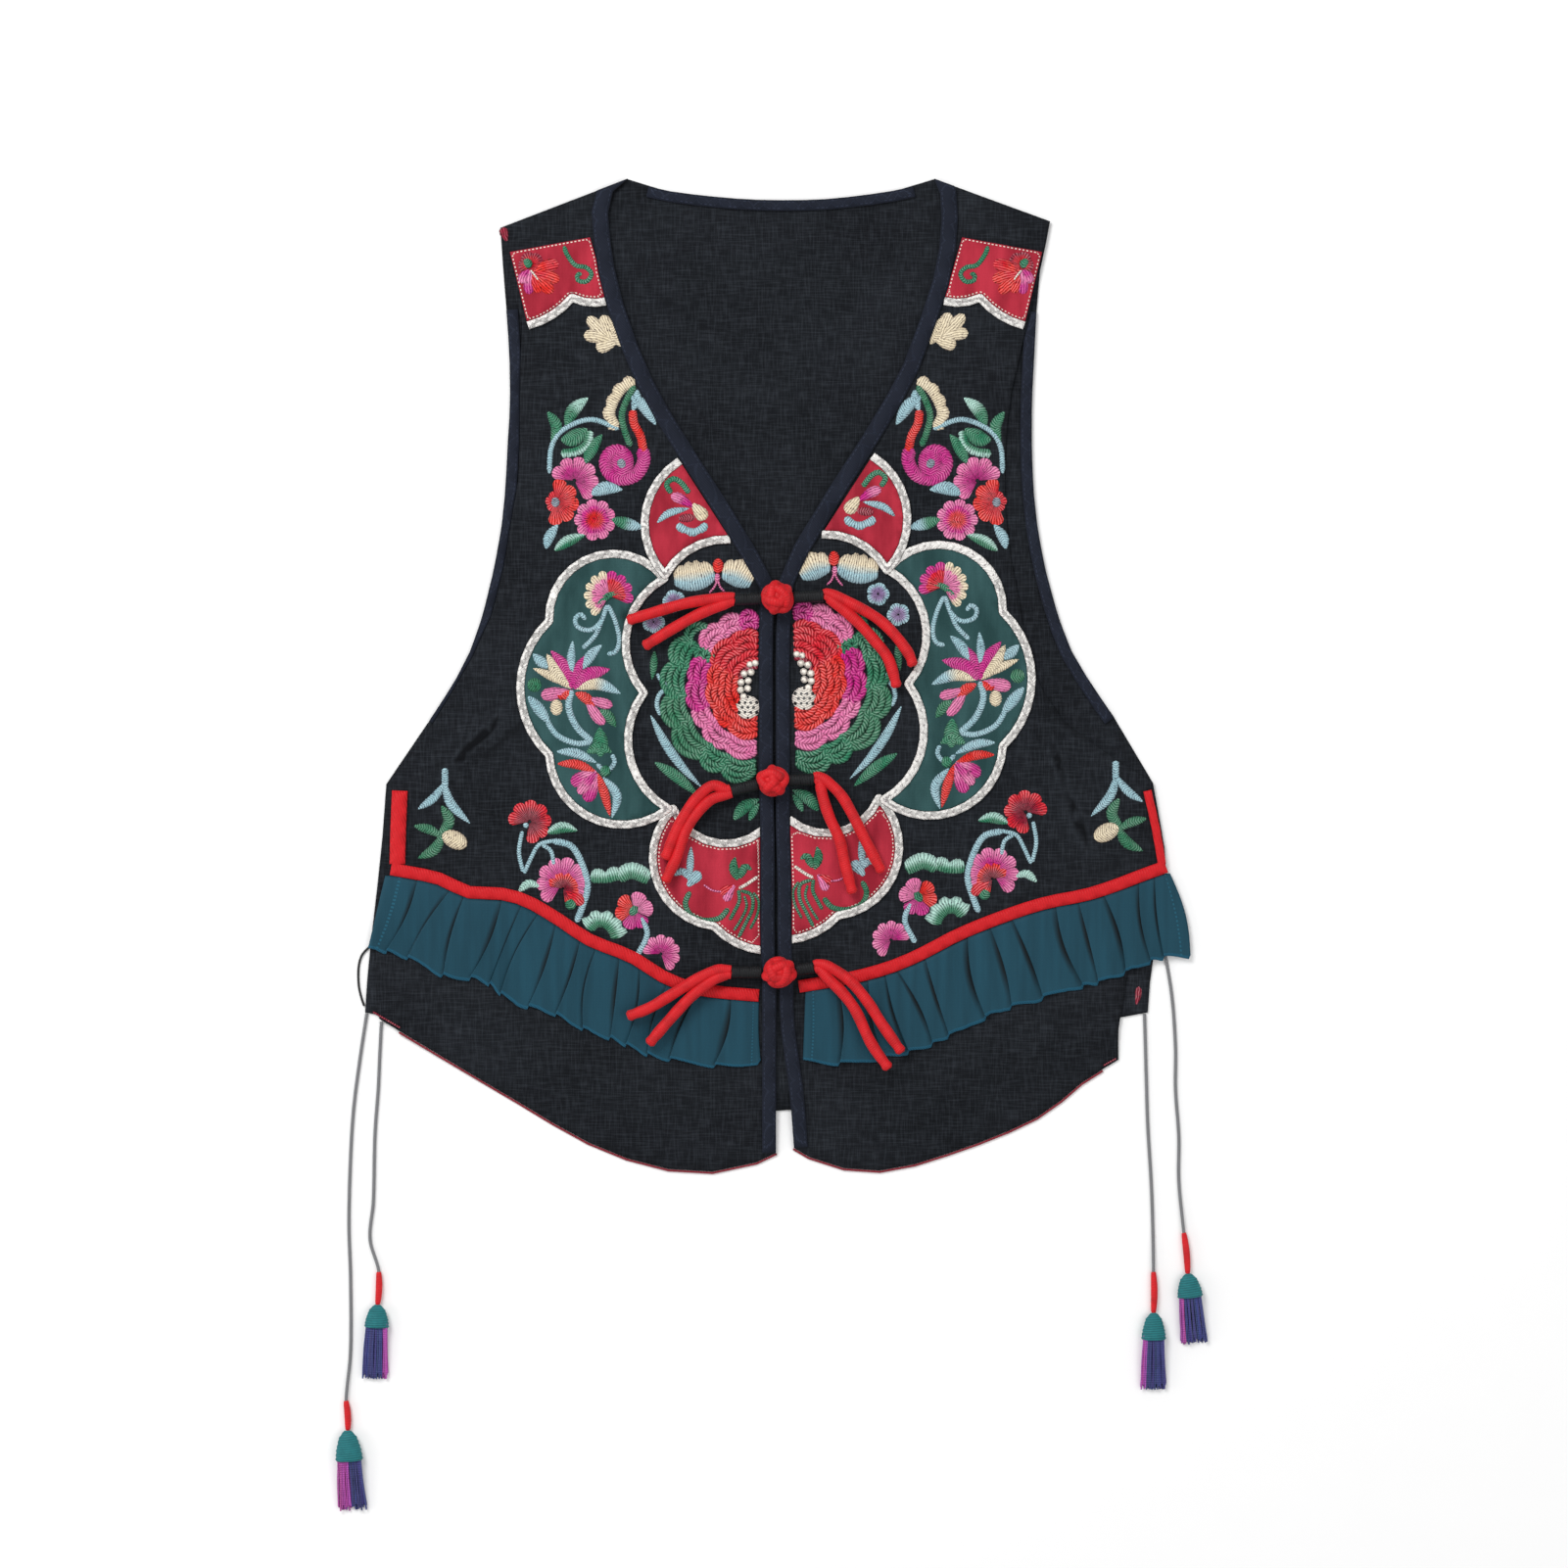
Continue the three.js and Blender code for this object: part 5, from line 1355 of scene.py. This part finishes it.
class WAISTCOAT_OT_ties(bpy.types.Operator):
    """Lay the four ties with their red sleeves and tassels, and the loop at the side"""

    bl_idname = "waistcoat.ties"
    bl_label = "Ties and tassels"

    def execute(self, context):
        tie_cord = plain_cord_finish("tie_thread", tuple(cloth().tie))
        loop_cord = plain_cord_finish("loop_thread", tuple(cloth().whipping))
        sleeve_cloth = cord_finish("red_sleeve", tuple(cloth().tape), 1.6)
        wool = strand_finish("tassel_wool")
        for tie in TIES:
            route = floor_line([*tie.route, tie.sleeve], TIE_RADIUS)
            route[-2:, 2] = (TIE_SLEEVE_RADIUS + REST_GAP) * MM
            ending = [self.sleeve(tie, sleeve_cloth), self.tassel(tie, wool)]
            piece = cord_curve(f"{tie.name}_tie", route, TIE_RADIUS, tie_cord,
                               f"tie_cord_{tie.name}")
        route = floor_line(SIDE_LOOP, LOOP_RADIUS)
        loop = cord_curve("side_loop_cord", route, LOOP_RADIUS, loop_cord, "side_loop")
        return {"FINISHED"}

    def sleeve(self, tie, material):
        """A short red casing that swells a little over the cord's end."""
        ends = floor_line([tie.route[-1], tie.sleeve], TIE_SLEEVE_RADIUS)
        line = spaced(ends, 0.9 * MM)
        u = np.linspace(0, 1, len(line))
        line[:, 0] += 0.5 * MM * np.sin(np.pi * u)
        radius = TIE_SLEEVE_RADIUS * MM * (0.62 + 0.38 * np.sin(np.pi * u) ** 0.5)
        shape = Shape()
        shape.tube(line, radius, 14, tuple(cloth().tape))
        return shape.finish(f"{tie.name}_sleeve", material, "red_tape", f"tie_sleeve_{tie.name}")

    def tassel(self, tie, material):
        """A flattened wound cap over two layers of strands."""
        start, end = np.array(tie.route[-1]), np.array(tie.sleeve)
        down = (end - start) / np.hypot(*(end - start))
        across = np.array([-down[1], down[0]])
        half = tie.cap_width / 2
        middle = half * 0.5 + 0.1
        shape = Shape()
        u = np.linspace(0, 1, 15)
        spots = end + down * (u[:, None] * tie.cap_length)
        line = in_frame(np.column_stack([spots, np.full(15, middle)]))
        bell = np.interp(u, [0, 0.05, 0.22, 0.6, 0.93, 1], [0.25, 0.36, 0.66, 0.9, 1, 0.93])
        wound = 1 + 0.03 * np.where(np.arange(15) % 2, 1, -1)
        shape.tube(line, half * bell * wound * MM, 28, tuple(cloth().cap), flatness=0.5)
        rng = np.random.default_rng(len(tie.name) + int(tie.strands))
        layers, count = 3, 19
        for layer in range(layers):
            for k in range(count):
                place = (k + 0.5) / count - 0.5
                lean = 1.0 + 0.1 * rng.random()
                tip = tie.strands * (1 - 0.14 * rng.random())
                begin = end + down * (tie.cap_length - 3) + across * place * tie.cap_width * 0.84
                stop = end + down * (tie.cap_length + tip) + across * place * tie.cap_width * lean
                high = middle + (layer - 1) * 1.5
                low = 0.55 + layer * 1.1
                bend = (begin + stop) / 2 + across * rng.uniform(-0.6, 0.6)
                points = [(*begin, high), (*bend, high * 0.55 + low * 0.45), (*stop, low)]
                pink = place * math.copysign(1, tie.pink) > 0.5 - abs(tie.pink)
                tone = tuple(cloth().strand_pink if pink else cloth().strand)
                tone = tuple(c * (0.8 + 0.35 * rng.random()) for c in tone)
                strand = smooth_line(in_frame(points), 4 * MM)
                shape.tube(strand, 0.5 * MM, 5, tone)
        return shape.finish(f"{tie.name}_tassel", material, "tassel_thread", f"tassel_{tie.name}")


class WAISTCOAT_OT_panels(bpy.types.Operator):
    """Make the back and the two fronts of slubby black linen"""

    bl_idname = "waistcoat.panels"
    bl_label = "Linen panels"

    def execute(self, context):
        ground, lighter = tuple(cloth().linen), tuple(cloth().linen_thread)
        hem_from = (SHIFT[1] - 165) * MM
        back_linen = linen_finish("back_linen", ground, lighter, hem_from)
        front_linen = linen_finish("front_linen", ground, lighter)
        finest = sizes().linen_edge
        back = shell_piece("back_panel", back_linen, finest, lift=crease_height("back_panel"))
        for side in SIDES:
            node = f"front_{side}"
            front = shell_piece(node, front_linen, finest, lift=crease_height(node))
        return {"FINISHED"}


class WAISTCOAT_OT_bands(bpy.types.Operator):
    """Bind the neck, the opening and the armholes, and pipe the hem"""

    bl_idname = "waistcoat.bands"
    bl_label = "Bindings and piping"

    def execute(self, context):
        strip = binding_finish()
        piping = tape_finish("red_piping", tuple(cloth().piping))
        size = sizes()
        shell_piece("back_neck_band", strip, size.trim_edge, size.band_puff, 2.5)
        for side in SIDES:
            shell_piece(f"front_band_{side}", strip, size.trim_edge, size.band_puff, 3)
            shell_piece(f"armhole_band_{side}", strip, size.trim_edge, size.band_puff, 2.5)
            shell_piece(f"hem_piping_{side}", piping, size.trim_edge, 0.2 * MM, 0.6)
        return {"FINISHED"}


class WAISTCOAT_OT_tapes(bpy.types.Operator):
    """Sew the red tapes along the hem and side of each front"""

    bl_idname = "waistcoat.tapes"
    bl_label = "Red tapes"

    def execute(self, context):
        tape = tape_finish("red_tape", tuple(cloth().tape))
        for side in SIDES:
            shell_piece(f"red_tape_{side}", tape, sizes().trim_edge, sizes().tape_puff, 3.6)
        return {"FINISHED"}


class WAISTCOAT_OT_patches(bpy.types.Operator):
    """Lay the crimson and green patches and edge them with white braid"""

    bl_idname = "waistcoat.patches"
    bl_label = "Patches and braid"

    def execute(self, context):
        crimson = cotton_finish("crimson_cotton", tuple(cloth().crimson), 0.75)
        plain = cotton_finish("plain_crimson_cotton", tuple(cloth().crimson), 0.0)
        green = cotton_finish("green_cotton", tuple(cloth().green), 0.0)
        cottons = {"side_lobe": green, "upper_petal": plain}
        white = braid_finish()
        size = sizes()
        for side in SIDES:
            for name in ("shoulder_patch", "upper_petal", "side_lobe", "lower_petal"):
                node = f"{name}_{side}"
                patch = shell_piece(node, cottons.get(name, crimson),
                                    3 * MM, size.patch_puff, 9, crease_height(node))
                braid = shell_piece(f"{name}_edging_{side}", white,
                                    size.trim_edge, size.braid_puff, 2.6)
        return {"FINISHED"}


def lower_edge(node, smooth=0):
    """The lower outline of a piece of the frame, as x and y in metres, averaged over smooth
    neighbours to either side. Past its ends the line goes on at half its slope."""
    fine = shell_of(node, 2.2 * MM)
    spots = np.array([v.co[:2] for v in fine.verts])
    fine.free()
    bins = np.rint(spots[:, 0] / (3 * MM)).astype(int)
    edge = [spots[bins == b][spots[bins == b][:, 1].argmin()] for b in np.unique(bins)]
    xs, ys = np.array(edge).T
    if smooth:
        padded = np.concatenate([ys[:1].repeat(smooth), ys, ys[-1:].repeat(smooth)])
        tilt = np.concatenate([ys[:1] - (ys[1] - ys[0]) * np.arange(smooth, 0, -1), ys,
                               ys[-1:] + (ys[-1] - ys[-2]) * np.arange(1, smooth + 1)])
        padded = (padded + tilt) / 2
        ys = np.convolve(padded, np.ones(2 * smooth + 1) / (2 * smooth + 1), "valid")
    return xs, ys


class WAISTCOAT_OT_frills(bpy.types.Operator):
    """Pleat the chiffon frills below the red tapes"""

    bl_idname = "waistcoat.frills"
    bl_label = "Pleated frills"

    FRILL_BASE = 3.2  # height of the flattest cloth above the floor
    ROWS = 18
    UNDER_TAPE = 0.2  # how far the cloth goes under the tape
    HEM_STEP = 1.3  # how far the hem steps up and down at a fold
    TURNED_HEM = 0.35  # how far the doubled hem stands up
    BOW = 3.2  # how far a fold curves sideways

    def execute(self, context):
        material = chiffon_finish()
        for side in SIDES:
            piece, cut = self.frill(side, material)
        return {"FINISHED"}

    def columns(self, folds, lift):
        """Where the cloth runs between the folds: place along them, height and the painted shade that
        darkens the cloth just before the next fold.
        """
        line = []
        for k in range(len(folds) - 1):
            width = folds[k + 1][0] - folds[k][0]
            high = lift * (0.75 + 0.25 * math.sin(k * 2.4))
            tuck = min(0.12, 2.2 / width)
            crest = 0.35 if k == 0 else 1.0
            line += [(k, high * crest, 0), (k + 0.1, high * 0.82, 0), (k + 0.4, high * 0.5, 0),
                     (k + 0.75, high * 0.2, 0.1), (k + 0.93, high * 0.1, 0.7),
                     (k + 1 + tuck, high * 0.08, 1)]
        line[-3:] = [(len(folds) - 1.15, lift * 0.15, 0), (len(folds) - 1.0, lift * 0.15, 0)]
        return line

    def frill(self, side, material):
        folds = FRILL_FOLDS[side]
        tops = np.array([f[0] for f in folds])
        hems = np.array([f[1] for f in folds])
        tape_x, tape_y = lower_edge(f"red_tape_{side}")
        hem_x, hem_y = lower_edge(f"ruffle_{side}", 3)
        line = np.array(self.columns(folds, sizes().pleat / MM))
        scale = np.array([np.diff(tops).mean(), 1.0, 2.0])
        fine = smooth_line(line * scale, 1.0) / scale
        number = np.arange(len(folds))
        far = np.clip(fine[:, 0], 0, len(folds) - 1)
        top_x = (np.interp(far, number, tops) + SHIFT[0]) * MM
        hem_line = (np.interp(far, number, hems) + SHIFT[0]) * MM
        v = np.linspace(0, 1, self.ROWS + 1)
        x = top_x[:, None] + (hem_line - top_x)[:, None] * v[None]
        high = np.interp(top_x, tape_x, tape_y) - self.UNDER_TAPE * MM
        step = self.HEM_STEP * MM * np.cos(np.pi * np.clip(far % 1, 0, 1))
        low = np.interp(hem_line, hem_x, hem_y) + step
        y = high[:, None] + (low - high)[:, None] * v[None]
        grown = 0.22 + 0.78 * v**0.7
        z = (self.FRILL_BASE + fine[:, 1:2] * grown[None]) * MM
        z = z + np.where(v > 0.97, self.TURNED_HEM, 0.0)[None] * MM
        bow = self.BOW * np.interp(far, number, np.sin(number * 1.9))[:, None] * np.sin(np.pi * v)[None]
        places = np.stack([x + bow * MM, y, z], -1)
        count = len(fine)
        along = travelled(np.column_stack([hem_line, fine[:, 1] * MM]))
        measures = np.zeros((count, self.ROWS + 1, 3))
        measures[..., 0] = np.minimum(along, along[-1] - along)[:, None]
        measures[..., 1] = v[None]
        # the painted shade before each fold, weaker near the tape and the hem
        measures[..., 2] = fine[:, 2:3] * (0.55 + 0.45 * np.sin(np.pi * np.clip(v * 1.2, 0, 1)))[None]
        shape = Shape()
        frill = shape.bm.verts.layers.float_vector.new("frill")
        # the grid is laid from the hem up, so that its faces look up
        shape.grid(count - 1, self.ROWS, places[:, ::-1], measures[:, ::-1],
                   np.ones((count, self.ROWS + 1, 4)))
        for vert in shape.bm.verts:
            vert[frill] = vert[shape.stitch]
        cut_width = round(float(along[-1]), 3)
        cut_depth = round(float(np.hypot((hem_line - top_x), (low - high)).mean()), 3)
        bmesh.ops.solidify(shape.bm, geom=shape.bm.faces[:], thickness=sizes().chiffon)
        # solidify makes the rim's faces in any order, so all are put in order of place
        by_place = sorted(shape.bm.faces, key=lambda face: tuple(face.calc_center_median()))
        order = {face: k for k, face in enumerate(by_place)}
        shape.bm.faces.sort(key=order.get)
        piece = shape.finish(f"frill_{side}", material, "chiffon", f"ruffle_{side}", sharp=180)
        return piece, (cut_width, cut_depth)


class WAISTCOAT_OT_peonies(bpy.types.Operator):
    """Stitch the half peony on each front and its seeds"""

    bl_idname = "waistcoat.peonies"
    bl_label = "Peonies"

    def execute(self, context):
        satin = bpy.data.materials.get("silk_thread") or embroidery_finish()
        for side in SIDES:
            ground = Ground([f"front_{side}_cloth"])
            shape = Shape()
            lay_peony(shape, ground, side, PEONY_HEIGHT * MM)
            lay_seeds(shape, ground, side, SEED_HEIGHT * MM)
            shape.finish(f"peony_{side}_stitches", satin, "embroidery", f"peony_{side}", sharp=75)
        return {"FINISHED"}


class WAISTCOAT_OT_embroidery(bpy.types.Operator):
    """Stitch the flowers, leaves, birds and butterflies on the fronts and patches"""

    bl_idname = "waistcoat.embroidery"
    bl_label = "Embroidery"

    def execute(self, context):
        satin = bpy.data.materials.get("silk_thread") or embroidery_finish()
        for side in SIDES:
            cloths = ["front_{}_cloth", "shoulder_patch_{}_cloth", "upper_petal_{}_cloth",
                      "side_lobe_{}_cloth", "lower_petal_{}_cloth"]
            ground = Ground([name.format(side) for name in cloths])
            for name, (strokes, dx, dy) in CLUSTERS.items():
                shape = Shape()
                lay_cluster(shape, ground, strokes, side, (dx, dy), sizes().stitch)
                shape.finish(f"{name}_stitches_{side}", satin, "embroidery", sharp=75)
            shape = Shape()
            cloths = Ground([f"front_{side}_cloth", "back_panel_cloth"])
            lay_cluster(shape, cloths, TACKS[side], side, (0, 0), sizes().stitch)
            shape.finish(f"red_tack_{side}", satin, "red_tape", sharp=75)
        return {"FINISHED"}


class WAISTCOAT_OT_knots(bpy.types.Operator):
    """Tie the three knot buttons with their whipped sleeves and cord tails"""

    bl_idname = "waistcoat.knots"
    bl_label = "Knot buttons and cords"

    LEADS = 3  # laps of the cord round the ball
    BIGHTS = 4  # swings over the poles
    SWING = 62  # how far towards the poles the cord swings, in degrees
    WEAVE = 0.09  # how far it goes over and under itself, as a share of the radius
    CORD = 0.31  # its own radius, as a share of the ball's

    def execute(self, context):
        red = cord_finish("knot_cloth", tuple(cloth().tape))
        black = whipping_finish()
        for number, (frog, tails) in enumerate(zip(FROGS, TAILS), 1):
            self.ball(number, frog, red)
            for side in SIDES:
                self.sleeve(number, frog, side, black)
                self.tails(number, frog, tails[side], side, red)
        return {"FINISHED"}

    def ball(self, number, frog, material):
        """A woven ball: one cord that goes round and over itself."""
        node = f"knot_button_{number}"
        low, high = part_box(node)
        centre = np.array((low + high) / 2)
        half = np.array((high - low) / 2)
        t = np.linspace(0, 2 * math.pi, 241)
        lap = self.LEADS * t
        rise = math.radians(self.SWING) * np.cos(self.BIGHTS * t)
        weave = 1 + self.WEAVE * np.sin(2 * self.BIGHTS * t)
        out = (1 - self.CORD) * weave * 0.96
        line = np.stack([np.cos(rise) * np.cos(lap), np.cos(rise) * np.sin(lap), np.sin(rise)], 1)
        line = line * out[:, None]
        tilt, spin = np.radians(frog.tilt)
        lean = np.array([
            [1, 0, 0],
            [0, math.cos(tilt), -math.sin(tilt)],
            [0, math.sin(tilt), math.cos(tilt)],
        ])
        roll = np.array([
            [math.cos(spin), -math.sin(spin), 0],
            [math.sin(spin), math.cos(spin), 0],
            [0, 0, 1],
        ])
        line = line @ lean.T @ roll.T
        shape = Shape()
        shape.tube(centre + line * half, self.CORD * half.mean(), 12, tuple(cloth().tape))
        u = np.linspace(0, 1, 13)
        core = np.zeros((13, 3))
        core[:] = centre
        core[:, 2] += (u - 0.5) * 1.5 * half[2]
        width = 0.72 * half[0] * np.sqrt(np.clip(1 - (2 * u - 1) ** 2, 0.02, 1))
        shape.tube(core, width, 20, tuple(cloth().tape))
        return shape.finish(f"knot_{number}", material, "knot_cord", node, sharp=80)

    def sleeve_ends(self, number, frog, side):
        """Where a wound sleeve starts at its button and ends, and the way from one to the other."""
        low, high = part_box(f"knot_button_{number}")
        button = np.array([frog.x, frog.y], float)
        end = np.array(getattr(frog, side), float)
        out = (end - button) / np.hypot(*(end - button))
        return button + out * ((high.x - low.x) / 2 / MM - 0.8), end, out

    def sleeve(self, number, frog, side, material):
        """Black thread wound round the two cords: a ridge for each turn."""
        start, end, _ = self.sleeve_ends(number, frog, side)
        route = in_frame([(*start, FROG_HEIGHT), (*end, FROG_HEIGHT)])
        line = spaced(route, 0.4 * MM)
        ridges = np.abs(np.sin(np.pi * travelled(line) / (1.5 * MM)))
        radius = (FROG_RADIUS + 0.4 * ridges) * MM
        shape = Shape()
        shape.tube(line, radius, 18, tuple(cloth().whipping), flatness=0.95)
        node = f"frog_{number}_sleeve_{side}"
        return shape.finish(f"whipping_{number}_{side}", material, "black_thread", node)

    def tails(self, number, frog, routes, side, material):
        """Two cloth cords that spread from the sleeve, each with a folded end."""
        _, end, out = self.sleeve_ends(number, frog, side)
        across = 1 if side == "left" else -1
        shape = Shape()
        for k, points in enumerate(routes):
            apart = (-1 if k else 1) * across * FROG_APART
            first = end + out * 0.3 + np.array([-out[1], out[0]]) * -apart
            flat = [first, first + 3 * out, *[np.array(p, float) for p in points]]
            count = len(flat)
            high = [FROG_HEIGHT + frog.climb * max(0, j - 1) / (count - 2) for j in range(count)]
            line = smooth_line(in_frame([(*p, z) for p, z in zip(flat, high)]), 1.6 * MM)
            run = travelled(line)
            from_end = run[-1] - run
            radius = FROG_RADIUS * MM * (1 - 0.12 * np.exp(-((from_end - 5 * MM) / (2.2 * MM)) ** 2))
            radius *= 1 + 0.025 * np.sin(run / (3.1 * MM) + k)
            radius *= np.sqrt(np.clip(from_end / (1.2 * MM), 0.35, 1))
            radius *= 0.75 + 0.25 * np.clip(run / (7 * MM), 0, 1)
            shape.tube(line, radius, 16, tuple(cloth().tape), flatness=0.94)
        node = f"frog_{number}_tails_{side}"
        return shape.finish(f"tails_{number}_{side}", material, "knot_cord", node, sharp=80)


class WAISTCOAT_PT_sidebar(bpy.types.Panel):
    """Lists the waistcoat's operators, sizes and colours."""

    bl_label = "Embroidered Waistcoat"
    bl_space_type = "VIEW_3D"
    bl_region_type = "UI"
    bl_category = "Waistcoat"

    def draw(self, context):
        for operator in OPERATORS:
            self.layout.operator(operator.bl_idname)
        for group in GROUPS:
            box = self.layout.box()
            for name in GROUPS[group].__annotations__:
                box.prop(getattr(context.scene, group), name)


OPERATORS = (
    WAISTCOAT_OT_stage,
    WAISTCOAT_OT_ties,
    WAISTCOAT_OT_panels,
    WAISTCOAT_OT_bands,
    WAISTCOAT_OT_tapes,
    WAISTCOAT_OT_patches,
    WAISTCOAT_OT_frills,
    WAISTCOAT_OT_peonies,
    WAISTCOAT_OT_embroidery,
    WAISTCOAT_OT_knots,
)
GROUPS = {
    "waistcoat_sizes": WAISTCOAT_PG_sizes,
    "waistcoat_threads": WAISTCOAT_PG_threads,
    "waistcoat_cloth": WAISTCOAT_PG_cloth,
}


def register():
    for group in GROUPS.values():
        bpy.utils.register_class(group)
    for name, group in GROUPS.items():
        setattr(bpy.types.Scene, name, bpy.props.PointerProperty(type=group))
    for operator in OPERATORS:
        bpy.utils.register_class(operator)
    bpy.utils.register_class(WAISTCOAT_PT_sidebar)


def unregister():
    bpy.utils.unregister_class(WAISTCOAT_PT_sidebar)
    for operator in reversed(OPERATORS):
        bpy.utils.unregister_class(operator)
    for name, group in GROUPS.items():
        delattr(bpy.types.Scene, name)
        bpy.utils.unregister_class(group)


def main():
    register()
    for operator in OPERATORS:
        group, name = operator.bl_idname.split(".")
        getattr(getattr(bpy.ops, group), name)()


if __name__ == "__main__":
    main()
